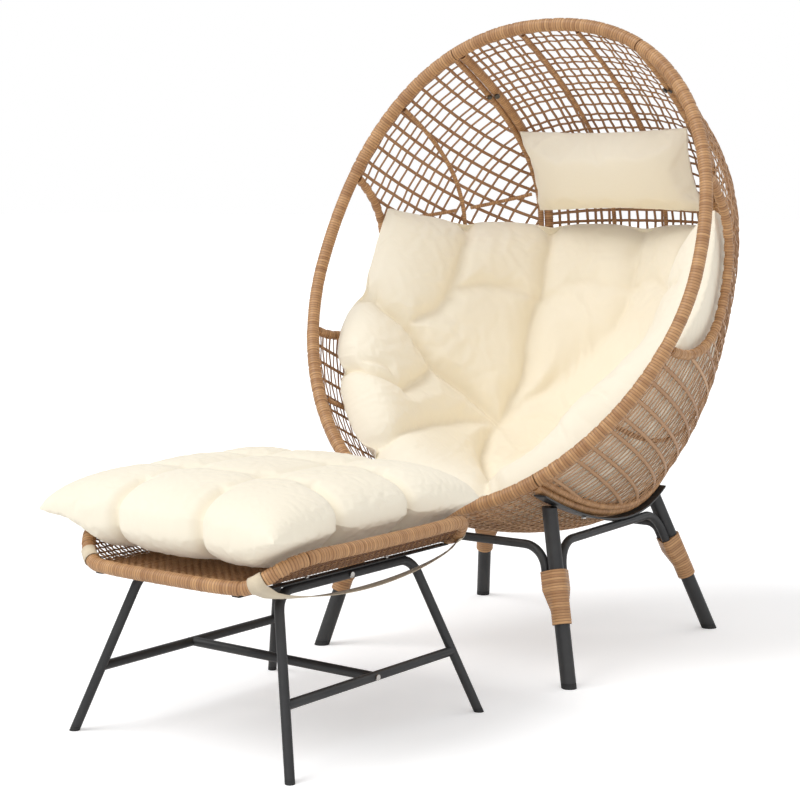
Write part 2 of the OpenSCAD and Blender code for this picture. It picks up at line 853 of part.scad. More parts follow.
// The seat cushion lies clear of the ribs inside the shell
cushion_gap = weave_t / 2 + rib_d + 2 * fit + 2.5 * facet_room;
// Directions, round the rim, of the cushion's front corners and of its wings
front_corner_turn = -35;
wing_turn = 13;
// Half width of a sewn fold, as a share of the cushion
fold_w = 0.06;

// Point of the shell by its direction from the middle of the back: 1 away is the rim
function disc_point(a, b) =
    let (
        f = 90 * (1 - norm([a, b])),
        t = atan2(b, a),
        n = fullness(b >= 0, f),
        reach = b >= 0 ? rim_upper_length : rim_lower_length,
        k = height_scale(f),
        v = reach * spow(sin(t), 2 / n),
        w = k * v - shell_drop * (1 - k) + shell_lift * k * (1 - k)
    )
    egg_middle + [rim_half_width * width_scale(f) * spow(cos(t), 2 / n), 0, 0]
        + w * egg_up + depth_at(f) * egg_back + bow(k * v);

function disc_inward(q) =
    let (
        h = slope_s / 2,
        p = disc_point(q[0], q[1]),
        a = disc_point(q[0] + h, q[1]) - disc_point(q[0] - h, q[1]),
        b = disc_point(q[0], q[1] + h) - disc_point(q[0], q[1] - h),
        n = unit(cross(a, b))
    )
    n * (egg_heart - p) > 0 ? n : -n;

// How far up the shell lies at a given height, for a place across it
function rise_at_height(a, z, low = 0, high = 0.9, steps = 20) =
    steps == 0 ? (low + high) / 2
    : let (mid = (low + high) / 2)
      disc_point(a, mid)[2] < z ? rise_at_height(a, z, mid, high, steps - 1)
      : rise_at_height(a, z, low, mid, steps - 1);

function on_circle(turn) =
    (cushion_reach - (cushion_reach - wing_reach) * ease((turn + 25) / 30)) * [cos(turn), sin(turn)];
function front_edge(u) = on_circle(-90 + (90 + front_corner_turn) * u);
function side_edge(v) = on_circle(front_corner_turn + (wing_turn - front_corner_turn) * v);
function top_edge(u) =
    let (a = on_circle(wing_turn)[0] * u)
    abs(u) == 1 ? [a, on_circle(wing_turn)[1]]
    : [a, rise_at_height(a, cushion_top_z + (wing_top_z - cushion_top_z) * pow(abs(u), 4))];

// Place of the cushion's grid on the shell, between its four edges
function patch_place(u, v) =
    let (
        w = (u + 1) / 2,
        right = side_edge(v),
        left = [-right[0], right[1]],
        low_right = front_edge(1),
        high_right = top_edge(1)
    )
    (1 - v) * front_edge(u) + v * top_edge(u) + (1 - w) * left + w * right
        - (1 - v) * ((1 - w) * [-low_right[0], low_right[1]] + w * low_right)
        - v * ((1 - w) * [-high_right[0], high_right[1]] + w * high_right);

function line_columns(c) = [c - fold_w, c, c + fold_w];
cushion_half_columns = concat([0, fold_w, channel_step / 2], line_columns(channel_step),
    [1.45 * channel_step], line_columns(1.9 * channel_step), [0.83, 0.92, 0.975, 1]);
cushion_columns = concat([for (k = [len(cushion_half_columns) - 1:-1:1]) -cushion_half_columns[k]],
    cushion_half_columns);
cushion_rows = concat([0, 0.02, 0.07, 0.16, 0.28, 0.38], line_columns(seat_fold),
    [(seat_fold + tuft_row) / 2 - 0.03, (seat_fold + tuft_row) / 2 + 0.03], line_columns(tuft_row),
    [0.9, 0.95, 0.985, 1]);

// Sewn channels run up the back, with one fold behind the seat and one row of tufts above it
function channel_depth(u, v) =
    max([for (c = [0, 1, 1.9]) bump(abs(u), c * channel_step, fold_w / 1.6)])
        * ease((v - seat_fold + 0.12) / 0.15);
function fold_depth(v) = max(bump(v, seat_fold, fold_w / 1.8), 0.7 * bump(v, tuft_row, fold_w / 1.8));

function seat_pad(u, v) =
    let (
        across = pow(1 - pow(abs(u), 9), 0.5),
        along = pow(1 - pow(abs(2 * v - 1), 9), 0.5),
        sewn = 1 - 0.32 * max(channel_depth(u, v), fold_depth(v))
    )
    cushion_edge_t + (cushion_t - cushion_edge_t) * across * along * sewn;

module seat_cushion() {
    function place(u, v, depth) =
        let (q = patch_place(u, v))
        disc_point(q[0], q[1]) + (cushion_gap + (depth ? seat_pad(u, v) : 0)) * disc_inward(q);
    color(cream)
        slab([for (u = cushion_columns) [for (v = cushion_rows) place(u, v, false)]],
            [for (u = cushion_columns) [for (v = cushion_rows) place(u, v, true)]]);
}

module head_pillow() {
    columns = 16;
    rows = 10;
    edge = cushion_edge_t / 4;
    across = [1, 0, 0];
    up = [0, -sin(pillow_lean), cos(pillow_lean)];
    out = [0, -cos(pillow_lean), -sin(pillow_lean)];
    middle = [0, pillow_y, pillow_z];
    function place(i, j, side) =
        let (
            u = sin(90 * (2 * i / columns - 1)),
            v = sin(90 * (2 * j / rows - 1)),
            puff = pow((1 - pow(abs(u), 3)) * (1 - pow(abs(v), 3)), 0.5),
            x = pillow_l / 2 * u * (1 - 0.05 * (1 - v * v)),
            h = pillow_h / 2 * v * (1 - 0.08 * (1 - u * u))
        )
        middle + x * across + h * up + side * (edge + (pillow_t / 2 - edge) * puff) * out;
    color(cream)
        slab([for (i = [0:columns]) [for (j = [0:rows]) place(i, j, -1)]],
            [for (i = [0:columns]) [for (j = [0:rows]) place(i, j, 1)]]);
}

// ---- footstool ----

strip_z = stool_bar_z + stool_r + fit;
rail_z = strip_z + strip_t + fit + rail_r;
// Share of the half width over which a front or back rail stays low
low_share = 0.63;

function rail_height(x) =
    rail_z + stool_rise * ease((abs(x) / stool_half_w - low_share) / (1 - low_share));
function rail_reach(x) =
    stool_half_l * pow(1 - pow(abs(x) / stool_half_w, stool_fullness), 1 / stool_fullness);
function rail_point(t) =
    let (
        x = stool_half_w * spow(cos(t), 2 / stool_fullness),
        y = stool_half_l * spow(sin(t), 2 / stool_fullness)
    )
    [x, y, rail_height(x)];
// Where the side rails meet the front and back rails
corner_angle = 30;
corner_gap = 0.1;

module rail(middle_angle, half_angle, count) {
    color(rattan)
        swept_tube([for (k = [-1:count + 1])
            let (w = 2 * k / count - 1)
            rail_point(middle_angle + (half_angle - corner_gap) * w)],
            rail_r, [0, 0, 1], guides = true);
}

module stool_front_rail() {
    rail(-90, 90 - corner_angle, 22);
}

module stool_back_rail() {
    rail(90, 90 - corner_angle, 22);
}

module stool_right_rail() {
    rail(0, corner_angle, 12);
}

module stool_left_rail() {
    rail(180, corner_angle, 12);
}

// Woven seat, fixed along the inside of the rails
module stool_net() {
    steps = 12;
    inner = 1 - (rail_r + fit) / stool_half_w;
    function place(i, j, side) =
        let (
            u = 2 * i / steps - 1,
            v = 2 * j / steps - 1,
            m = max(abs(u), abs(v)),
            p = rail_point(atan2(v, u)),
            x = m * p[0] * inner,
            y = m * (p[1] - sign(p[1]) * min(abs(p[1]), rail_r + fit))
        )
        [x, y, rail_height(x / inner) - net_sag * (1 - m * m) + side * net_t / 2];
    color(rattan_dark)
        slab([for (i = [0:steps]) [for (j = [0:steps]) place(i, j, -1)]],
            [for (i = [0:steps]) [for (j = [0:steps]) place(i, j, 1)]]);
}

function leg_frame_x(z) = stool_foot_x - stool_lean_x * z;
function leg_frame_y(z) = stool_foot_y - stool_lean_y * z;
function leg_frame_point(z, back) = [leg_frame_x(z), back * leg_frame_y(z), z];

module stool_leg_frame_right() {
    color(black)
        between_heights(stool_cap_h + fit, 2 * stool_bar_z)
            bent_tube([leg_frame_point(-stool_tube_d, -1), leg_frame_point(stool_bar_z, -1),
                leg_frame_point(stool_bar_z, 1), leg_frame_point(-stool_tube_d, 1)],
                stool_r, stool_bend_r);
}

module stool_leg_frame_left() {
    mirror([1, 0, 0]) stool_leg_frame_right();
}

// The lower bars are cut to fit round the legs, and the stretcher round the lower bars
module stool_low_bar_right() {
    half = leg_frame_y(stool_low_z);
    p = [leg_frame_x(stool_low_z), 0, stool_low_z];
    color(black)
        difference() {
            bar(p - [0, half, 0], p + [0, half, 0], stool_r);
            for (back = [-1, 1])
                bar(leg_frame_point(stool_low_z - 2 * stool_tube_d, back),
                    leg_frame_point(stool_low_z + 2 * stool_tube_d, back), stool_r + fit);
        }
}

module stool_low_bar_left() {
    mirror([1, 0, 0]) stool_low_bar_right();
}

module stool_stretcher() {
    half = leg_frame_x(stool_low_z);
    color(black)
        difference() {
            bar([-half, 0, stool_low_z], [half, 0, stool_low_z], stool_r);
            for (side = [-half, half])
                bar([side, -stool_tube_d, stool_low_z], [side, stool_tube_d, stool_low_z],
                    stool_r + fit);
        }
}

module stool_bolts() {
    color(steel)
        for (side = [-1, 1], z = [stool_bar_z, stool_low_z]) {
            p = [side * (leg_frame_x(z) + stool_r + fit), 0, z];
            bar(p, p + [side * stool_bolt_t, 0, 0], stool_bolt_d / 2);
        }
}

module stool_foot_caps() {
    color("#161616")
        between_heights(0, stool_cap_h)
            for (side = [-1, 1], back = [-1, 1]) {
                foot = [side * leg_frame_x(0), back * leg_frame_y(0), 0];
                rise = [-side * stool_lean_x, -back * stool_lean_y, 1] * stool_tube_d;
                bar(foot - rise, foot + rise, stool_r);
            }
}

strip_x = leg_frame_x(stool_bar_z);
strip_half_l = rail_reach(strip_x);

module stool_strip_right() {
    color(black)
        translate([strip_x - strip_w / 2, -strip_half_l, strip_z])
            cube([strip_w, 2 * strip_half_l, strip_t]);
}

module stool_strip_left() {
    mirror([1, 0, 0]) stool_strip_right();
}

module stool_strip_screws() {
    color(steel)
        for (side = [-1, 1], back = [-1, 1])
            translate([side * strip_x, back * leg_frame_y(stool_bar_z) * 3 / 5,
                strip_z + strip_t + fit / 2])
                cylinder(h = strip_t, d = strip_w / 2, $fn = exact);
}

// Strap wound over the front and back rails, with a slack run underneath
module stool_strap_right() {
    turns = [for (a = [120:-21:-90]) a];
    slack = 9;
    columns = [-strap_w / 2, 0, strap_w / 2];
    function rail_turn(x) = -acos(pow(x / stool_half_w, stool_fullness / 2));
    function wound(x, a, r) =
        let (
            t = rail_turn(x),
            along = unit(rail_point(t + slope_x) - rail_point(t - slope_x)),
            out = unit(cross(along, [0, 0, 1])),
            up = cross(out, along)
        )
        rail_point(t) + r * (cos(a) * out + sin(a) * up);
    function across(p) = [p[0], -p[1], p[2]];
    function run(x, r) =
        let (
            front = [for (a = turns) wound(x, a, r)],
            low = front[len(front) - 1],
            drop = low[2] - strap_low_z + r - rail_r,
            sag = [for (k = [1:slack])
                let (w = k / (slack + 1))
                [low[0], low[1] * (1 - 2 * w), low[2] - drop * pow(sin(180 * w), 0.6)]]
        )
        concat(front, sag, [for (k = [len(front) - 1:-1:0]) across(front[k])]);
    color(cream)
        slab([for (c = columns) run(strap_x + c, rail_r + fit + facet_room)],
            [for (c = columns) run(strap_x + c, rail_r + fit + facet_room + strap_t)]);
}

module stool_strap_left() {
    mirror([1, 0, 0]) stool_strap_right();
}

module stool_cushion() {
    steps = 18;
    function lift(u, v) =
        pow((1 - pow(abs(u), 5)) * (1 - pow(abs(v), 5)), 0.4);
    function sewn(x, y) =
        let (
            across = bump(abs(x), tuft_offset, 24),
            along = bump(abs(y), tuft_offset, 24)
        )
        1 - 0.24 * max(across, along) - 0.28 * across * along;
    function place(i, j, top) =
        let (
            u = sin(90 * (2 * i / steps - 1)),
            v = sin(90 * (2 * j / steps - 1)),
            x = stool_cushion_half_w * u * (1 - 0.05 * (1 - v * v)),
            y = stool_cushion_half_l * v * (1 - 0.04 * (1 - u * u)),
            seat = rail_height(min(abs(x + stool_cushion_x), stool_half_w)) + rail_r + fit,
            edge = stool_cushion_edge_z,
            half = stool_cushion_edge_t / 2,
            rise = stool_cushion_top_z - edge - half,
            z = top ? edge + half + rise * lift(u, v) * sewn(x, y)
                : edge - half - (edge - half - seat) * lift(u, v)
        )
        [x + stool_cushion_x, y + stool_cushion_y, z];
    color(cream)
        slab([for (i = [0:steps]) [for (j = [0:steps]) place(i, j, false)]],
            [for (i = [0:steps]) [for (j = [0:steps]) place(i, j, true)]]);
}

// ---- what is shown ----

placed() rim_top();
placed() rim_left();
placed() rim_right();
placed() rim_front();
placed() center_panel();
placed() left_panel();
placed() right_panel();
placed() center_tube_left();
placed() center_tube_right();
placed() side_tube_left();
placed() side_tube_right();
placed() center_rib_left();
placed() center_rib_right();
placed() side_rib_left();
placed() side_rib_right();
placed() window_tube_left();
placed() window_tube_right();
placed() center_band();
placed() left_band();
placed() right_band();
placed() seam_bolts();
placed() plate_left();
placed() plate_right();
placed() plate_screws();
placed() front_leg_left();
placed() front_leg_right();
placed() back_leg_left();
placed() back_leg_right();
placed() front_sleeve_left();
placed() front_sleeve_right();
placed() back_sleeve_left();
placed() back_sleeve_right();
placed() front_brace();
placed() back_brace();
placed() left_brace();
placed() right_brace();
placed() foot_caps();
placed() seat_cushion();
placed() head_pillow();
placed_stool() stool_front_rail();
placed_stool() stool_back_rail();
placed_stool() stool_left_rail();
placed_stool() stool_right_rail();
placed_stool() stool_net();
placed_stool() stool_strip_left();
placed_stool() stool_strip_right();
placed_stool() stool_strip_screws();
placed_stool() stool_leg_frame_left();
placed_stool() stool_leg_frame_right();
placed_stool() stool_low_bar_left();
placed_stool() stool_low_bar_right();
placed_stool() stool_stretcher();
placed_stool() stool_bolts();
placed_stool() stool_foot_caps();
placed_stool() stool_strap_left();
placed_stool() stool_strap_right();
placed_stool() stool_cushion();
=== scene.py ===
"""Looks of a standing woven egg chair and its footstool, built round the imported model.

Sizes are in millimetres about the chair's own middle until a piece is made. The shop's frame is
in metres, and the whole set lies SET_SHIFT further back in it.
"""

import logging
import math
from collections.abc import Callable, Sequence
from dataclasses import dataclass, field
from enum import Enum

import bmesh
import bpy
import numpy as np
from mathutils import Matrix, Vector


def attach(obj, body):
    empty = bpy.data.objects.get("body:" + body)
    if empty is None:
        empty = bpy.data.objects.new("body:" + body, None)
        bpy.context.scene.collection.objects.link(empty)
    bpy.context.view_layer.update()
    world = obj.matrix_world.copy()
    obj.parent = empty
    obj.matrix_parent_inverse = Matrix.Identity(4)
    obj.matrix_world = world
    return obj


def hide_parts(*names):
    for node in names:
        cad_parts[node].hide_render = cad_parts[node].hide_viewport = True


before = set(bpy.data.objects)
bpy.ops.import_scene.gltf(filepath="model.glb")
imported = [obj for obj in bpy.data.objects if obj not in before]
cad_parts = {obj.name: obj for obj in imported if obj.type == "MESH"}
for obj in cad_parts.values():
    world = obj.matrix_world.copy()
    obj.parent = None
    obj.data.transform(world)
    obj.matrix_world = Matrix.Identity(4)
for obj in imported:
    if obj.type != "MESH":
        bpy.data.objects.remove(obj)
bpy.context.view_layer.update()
LOG = logging.getLogger("egg_chair")
SET_SHIFT = 322.202
Color = tuple[float, float, float]


class Body(Enum):
    """Bodies of the set that pieces ride on."""

    CHAIR = "chair"
    SEAT = "seat_pad"
    PILLOW = "pillow"
    STOOL = "stool"
    STOOL_PAD = "stool_pad"


def to_frame(points: np.ndarray) -> np.ndarray:
    """Take points from the chair's millimetres to the frame's metres.

    Args:
        points: array of points in millimetres.

    Returns:
        The same points in metres, in the frame.
    """
    return (np.asarray(points, float) + np.array([0.0, SET_SHIFT, 0.0])) / 1000.0


def spow(value: np.ndarray, power: float) -> np.ndarray:
    """Raise to a power and keep the sign.

    Args:
        value: numbers of either sign.
        power: the exponent.

    Returns:
        The signed powers.
    """
    return np.sign(value) * np.abs(value) ** power


def ease(value: np.ndarray) -> np.ndarray:
    """Blend smoothly from 0 to 1.

    Args:
        value: places along the blend.

    Returns:
        0 below 0, 1 above 1, and a smooth step between them.
    """
    t = np.clip(value, 0.0, 1.0)
    return t * t * (3.0 - 2.0 * t)


def bump(value: np.ndarray, middle: float, width: float) -> np.ndarray:
    """Bell curve of height 1.

    Args:
        value: places.
        middle: where the bell stands.
        width: its width.

    Returns:
        The heights of the bell.
    """
    return np.exp(-(((value - middle) / width) ** 2))


def unit(vectors: np.ndarray) -> np.ndarray:
    """Scale vectors to length 1.

    Args:
        vectors: directions, along the last axis.

    Returns:
        The same directions, of length 1.
    """
    size = np.linalg.norm(vectors, axis=-1, keepdims=True)
    return vectors / np.maximum(size, 1e-12)


@dataclass(frozen=True)
class EggForm:
    """Shape of the egg's shell and rim, in millimetres about the chair's own middle."""

    half_width: float = 500.0
    upper: float = 617.0
    lower: float = 569.0
    upper_fullness: float = 2.2
    lower_fullness: float = 1.86
    rim_r: float = 15.0
    tilt: float = 25.0
    height: float = 872.0
    forward: float = 113.0
    bow: float = 45.0
    depth: float = 660.0
    drop: float = 205.0
    width_fullness: float = 2.1
    height_fullness: float = 4.0
    depth_fullness: float = 1.83
    lift: float = 300.0
    squaring: float = 1.2
    fit: float = 0.3

    @property
    def middle(self) -> np.ndarray:
        """Middle of the rim's oval.

        Returns:
            The point.
        """
        return np.array([0.0, -self.forward, self.height])

    @property
    def up(self) -> np.ndarray:
        """Direction up along the leaning rim.

        Returns:
            The direction.
        """
        a = math.radians(self.tilt)
        return np.array([0.0, math.sin(a), math.cos(a)])

    @property
    def back(self) -> np.ndarray:
        """Direction from the rim into the egg.

        Returns:
            The direction.
        """
        a = math.radians(self.tilt)
        return np.array([0.0, math.cos(a), -math.sin(a)])

    @property
    def heart(self) -> np.ndarray:
        """A place inside the egg that all of the shell faces.

        Returns:
            The point.
        """
        return self.middle + 220.0 * self.back - 60.0 * self.up

    def bowed(self, v: np.ndarray) -> np.ndarray:
        """How far the rim bows forward at a height along it.

        Args:
            v: height along the rim, -1 to 1.

        Returns:
            Distances, in millimetres.
        """
        out = np.zeros(v.shape + (3,))
        out[..., 1] = -self.bow * (v / 617.0) ** 2
        return out

    def ring(self, f: np.ndarray, t: np.ndarray, high: np.ndarray) -> np.ndarray:
        """Point of the shell on the ring at angle f behind the rim.

        Args:
            f: ring angle in degrees, 0 at the rim and 90 at the back.
            t: angle round the ring in degrees, 0 to the right.
            high: whether the point is in the upper half.

        Returns:
            Points in millimetres.
        """
        fr, tr = np.radians(f), np.radians(t)
        n = np.where(high, self.upper_fullness, self.lower_fullness)
        n = n + self.squaring * np.sin(fr) ** 2
        reach = np.where(high, self.upper, self.lower)
        k = np.cos(fr) ** (2 / self.height_fullness)
        v = reach * np.sign(np.sin(tr)) * np.abs(np.sin(tr)) ** (2 / n)
        w = k * v - self.drop * (1 - k) + self.lift * k * (1 - k)
        x = self.half_width * np.cos(fr) ** (2 / self.width_fullness)
        x = x * np.sign(np.cos(tr)) * np.abs(np.cos(tr)) ** (2 / n)
        d = self.depth * np.sin(fr) ** (2 / self.depth_fullness)
        side = np.zeros(x.shape + (3,))
        side[..., 0] = x
        return self.middle + side + w[..., None] * self.up + d[..., None] * self.back + self.bowed(k * v)

    def point(self, x: np.ndarray, s: np.ndarray) -> np.ndarray:
        """Point of the shell at a distance from the middle plane.

        Args:
            x: distance to the right.
            s: 1 at the top of the rim, 0 at the back, -1 at the bottom of the rim.

        Returns:
            Points in millimetres.
        """
        x, s = np.broadcast_arrays(np.asarray(x, float), np.asarray(s, float))
        ax = np.maximum(np.abs(x), 0.5)
        start = math.degrees(math.asin(((self.rim_r + 2 * self.fit) / self.depth) ** (self.depth_fullness / 2)))
        last = np.degrees(np.arccos(np.minimum(1.0, ax / self.half_width) ** (self.width_fullness / 2)))
        f = np.maximum(0.01, start + (last - start) * (1 - s * s))
        high = s >= 0
        n = np.where(high, self.upper_fullness, self.lower_fullness)
        n = n + self.squaring * np.sin(np.radians(f)) ** 2
        wide = self.half_width * np.cos(np.radians(f)) ** (2 / self.width_fullness)
        t = np.degrees(np.arccos(np.minimum(1.0, np.minimum(1.0, ax / wide) ** (n / 2))))
        p = self.ring(f, np.where(high, t, -t), high)
        p[..., 0] = x
        return p

    def normal(self, x: np.ndarray, s: np.ndarray) -> np.ndarray:
        """Direction into the egg at a point of the shell.

        Args:
            x: distance from the middle plane, in millimetres.
            s: place along the curve of the shell, -1 to 1.

        Returns:
            Directions of length 1.
        """
        x, s = np.broadcast_arrays(np.asarray(x, float), np.asarray(s, float))
        p = self.point(x, s)
        a = self.point(x + 1.0, s) - self.point(x - 1.0, s)
        b = self.point(x, s + 0.01) - self.point(x, s - 0.01)
        n = unit(np.cross(a, b))
        turn = np.sum(n * (self.heart - p), axis=-1, keepdims=True) > 0
        return np.where(turn, n, -n)

    def inside(self, x: np.ndarray, s: np.ndarray, depth: float) -> np.ndarray:
        """Point a distance inside the shell.

        Args:
            x: distance from the middle plane, in millimetres.
            s: place along the curve of the shell, -1 to 1.
            depth: how far inside, in millimetres.

        Returns:
            The points.
        """
        return self.point(x, s) + depth * self.normal(x, s)

    def disc(self, a: np.ndarray, b: np.ndarray) -> np.ndarray:
        """Point of the shell by its direction from the middle of the back, where 1 away is the rim.

        Args:
            a: place across the disc, to the right.
            b: place up the disc.

        Returns:
            The points.
        """
        a, b = np.broadcast_arrays(np.asarray(a, float), np.asarray(b, float))
        f = 90.0 * (1.0 - np.hypot(a, b))
        return self.ring(np.clip(f, 0.0, 89.99), np.degrees(np.arctan2(b, a)), b >= 0)

    def disc_normal(self, a: np.ndarray, b: np.ndarray) -> np.ndarray:
        """Direction into the egg at a place of the disc.

        Args:
            a: place across the disc, to the right.
            b: place up the disc.

        Returns:
            Directions of length 1.
        """
        h = 0.005
        p = self.disc(a, b)
        n = unit(np.cross(self.disc(a + h, b) - self.disc(a - h, b), self.disc(a, b + h) - self.disc(a, b - h)))
        turn = np.sum(n * (self.heart - p), axis=-1, keepdims=True) > 0
        return np.where(turn, n, -n)

    def rim(self, t: np.ndarray) -> np.ndarray:
        """Point of the rim's middle line at an angle in degrees, 0 to the right and 90 at the top.

        Args:
            t: angle, in degrees.

        Returns:
            The points.
        """
        t = np.asarray(t, float)
        tr = np.radians(t)
        high = np.sin(tr) >= 0
        n = np.where(high, self.upper_fullness, self.lower_fullness)
        v = np.where(high, self.upper, self.lower) * np.sign(np.sin(tr)) * np.abs(np.sin(tr)) ** (2 / n)
        x = self.half_width * np.sign(np.cos(tr)) * np.abs(np.cos(tr)) ** (2 / n)
        side = np.zeros(x.shape + (3,))
        side[..., 0] = x
        return self.middle + side + v[..., None] * self.up + self.bowed(v)

    def rim_angle(self, x: float, high: bool) -> float:
        """Angle at which the rim is x from the middle plane.

        Args:
            x: distance from the middle plane, in millimetres.
            high: whether the upper of the two angles is meant.

        Returns:
            The angle, in degrees.
        """
        n = self.upper_fullness if high else self.lower_fullness
        t = math.degrees(math.acos((x / self.half_width) ** (n / 2)))
        return t if high else -t


@dataclass
class MeshStock:
    """Points, faces and point values of one piece while it is being made."""

    points: list[np.ndarray] = field(default_factory=list)
    quads: list[np.ndarray] = field(default_factory=list)
    values: dict[str, list[np.ndarray]] = field(default_factory=dict)
    count: int = 0

    def add(self, points: np.ndarray, quads: np.ndarray, **values: np.ndarray) -> None:
        """Add a patch of mesh.

        Args:
            points: its points, N by 3.
            quads: its faces, M by 4, counted from the patch's first point.
            values: one number for each point, by attribute name.
        """
        self.points.append(points)
        self.quads.append(quads + self.count)
        for name, value in values.items():
            full = np.broadcast_to(np.asarray(value, float), (len(points),))
            self.values.setdefault(name, []).append(full)
        self.count += len(points)

    def add_tube(self, rings: np.ndarray, closed: bool = False, **values: np.ndarray) -> None:
        """Add a tube through rings of points.

        Args:
            rings: array of rings, K by M by 3.
            closed: whether the last ring joins the first.
            values: one number for each ring or each point, K by M.
        """
        count, sides = rings.shape[:2]
        ring = np.arange(count if closed else count - 1)
        side = np.arange(sides)
        a = (ring[:, None] * sides + side).ravel()
        b = (ring[:, None] * sides + (side + 1) % sides).ravel()
        after = ((ring + 1) % count)[:, None]
        c = (after * sides + (side + 1) % sides).ravel()
        d = (after * sides + side).ravel()
        flat = {}
        for name, value in values.items():
            value = np.asarray(value, float)
            if value.ndim == 1:
                value = np.repeat(value[:, None], sides, axis=1)
            flat[name] = np.broadcast_to(value, (count, sides)).ravel()
        self.add(rings.reshape(-1, 3), np.stack([a, b, c, d], axis=1), **flat)
        if not closed:
            self.cap(rings[0], False, {k: v[:sides] for k, v in flat.items()})
            self.cap(rings[-1], True, {k: v[-sides:] for k, v in flat.items()})

    def cap(self, ring: np.ndarray, last: bool, values: dict[str, np.ndarray]) -> None:
        """Close the end of a tube with a fan of faces round its middle.

        Args:
            ring: the end ring.
            last: whether this is the tube's last ring, which faces the other way.
            values: the ring's attribute values.
        """
        sides = len(ring)
        points = np.vstack([ring, ring.mean(axis=0)])
        k = np.arange(0, sides, 2)
        order = [k, (k + 1) % sides, (k + 2) % sides] if last else [(k + 2) % sides, (k + 1) % sides, k]
        quads = np.stack(order + [np.full_like(k, sides)], axis=1)
        self.add(points, quads, **{n: np.append(v, v.mean()) for n, v in values.items()})

    def mesh(self, name: str) -> bpy.types.Mesh:
        """Turn what was added into a mesh.

        Args:
            name: name of the mesh.

        Returns:
            A mesh with smooth faces and its point attributes.
        """
        points = np.vstack(self.points)
        quads = np.vstack(self.quads).astype(np.int32)
        mesh = bpy.data.meshes.new(name)
        mesh.vertices.add(len(points))
        mesh.vertices.foreach_set("co", to_frame(points).astype(np.float32).ravel())
        mesh.loops.add(quads.size)
        mesh.loops.foreach_set("vertex_index", quads.ravel())
        mesh.polygons.add(len(quads))
        mesh.polygons.foreach_set("loop_start", np.arange(0, quads.size, 4, dtype=np.int32))
        mesh.polygons.foreach_set("use_smooth", np.ones(len(quads), dtype=bool))
        mesh.update(calc_edges=True)
        for key, parts in self.values.items():
            layer = mesh.attributes.new(key, "FLOAT", "POINT")
            layer.data.foreach_set("value", np.concatenate(parts).astype(np.float32))
        mesh.validate()
        return mesh


def place_piece(
    name: str,
    mesh: bpy.types.Mesh,
    material: bpy.types.Material,
    body: Body,
    nodes: Sequence[str] = (),
) -> bpy.types.Object:
    """Put a finished mesh into the scene as a piece of the set.

    Args:
        name: the piece's name.
        mesh: its mesh, in the frame's metres.
        material: its finish.
        body: the body that carries it.
        nodes: solids of the model that it stands for.

    Returns:
        The new object.
    """
    piece = bpy.data.objects.new(name, mesh)
    bpy.context.scene.collection.objects.link(piece)
    mesh.materials.clear()
    mesh.materials.append(material)
    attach(piece, body.value)
    if nodes:
        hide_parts(*nodes)
    LOG.info("%s: %d points", name, len(mesh.vertices))
    return piece


def along(path: np.ndarray) -> np.ndarray:
    """Distance along a path of points, from its first point.

    Args:
        path: points of the path, N by 3.

    Returns:
        One distance for each point.
    """
    steps = np.linalg.norm(np.diff(path, axis=0), axis=1)
    return np.concatenate([[0.0], np.cumsum(steps)])


def resampled(path: np.ndarray, places: np.ndarray) -> np.ndarray:
    """Points at given distances along a path.

    Args:
        path: points, N by 3.
        places: distances along it.

    Returns:
        One point for each distance.
    """
    run = along(path)
    return np.stack([np.interp(places, run, path[:, k]) for k in range(path.shape[1])], axis=1)


def tangents(path: np.ndarray, closed: bool = False) -> np.ndarray:
    """Unit directions along a path of points.

    Args:
        path: points of the path, N by 3.
        closed: whether its ends meet.

    Returns:
        One direction for each point.
    """
    if closed:
        return unit(np.roll(path, -1, axis=0) - np.roll(path, 1, axis=0))
    return unit(np.gradient(path, axis=0))


class StrandProfile(Enum):
    """Cross-sections of a strand, as shares of its half width and half thickness."""

    THIN = ((-1.0, 0.0), (-0.4, 1.0), (0.4, 1.0), (1.0, 0.0), (0.4, -1.0), (-0.4, -1.0))


@dataclass
class StrandMaker:
    """Lays flat strands along a surface into one mesh."""

    stock: MeshStock
    rng: np.random.Generator
    thickness: float = 2.2

    def lay(
        self,
        path: np.ndarray,
        out: np.ndarray,
        width: float,
        offset: np.ndarray | float = 0.0,
        profile: StrandProfile = StrandProfile.THIN,
    ) -> None:
        """Lay one strand.

        Args:
            path: points on the surface, N by 3.
            out: direction away from the egg at each point.
            width: width of the strand.
            offset: how far the strand stands out from the surface at each point.
            profile: its cross-section.
        """
        if len(path) < 3:
            return
        middle = path + np.asarray(offset).reshape(-1, 1) * out
        side = unit(np.cross(tangents(middle), out))
        face = unit(np.cross(side, tangents(middle)))
        shape = np.array(profile.value)
        across = width / 2 * shape[:, 0]
        rise = self.thickness / 2 * shape[:, 1]
        rings = middle[:, None] + across[None, :, None] * side[:, None] + rise[None, :, None] * face[:, None]
        run = along(middle) + self.rng.uniform(0, 4000)
        tone = self.rng.normal(0.0, 1.0)
        self.stock.add_tube(
            rings,
            run=run,
            turn=np.broadcast_to(shape[:, 0], rings.shape[:2]),
            tone=np.full(len(path), tone),
            outer=np.broadcast_to(shape[:, 1], rings.shape[:2]),
            # Painted shade towards the strand's two edges.
            groove=np.broadcast_to(np.abs(shape[:, 0]) * 0.45, rings.shape[:2]),
        )


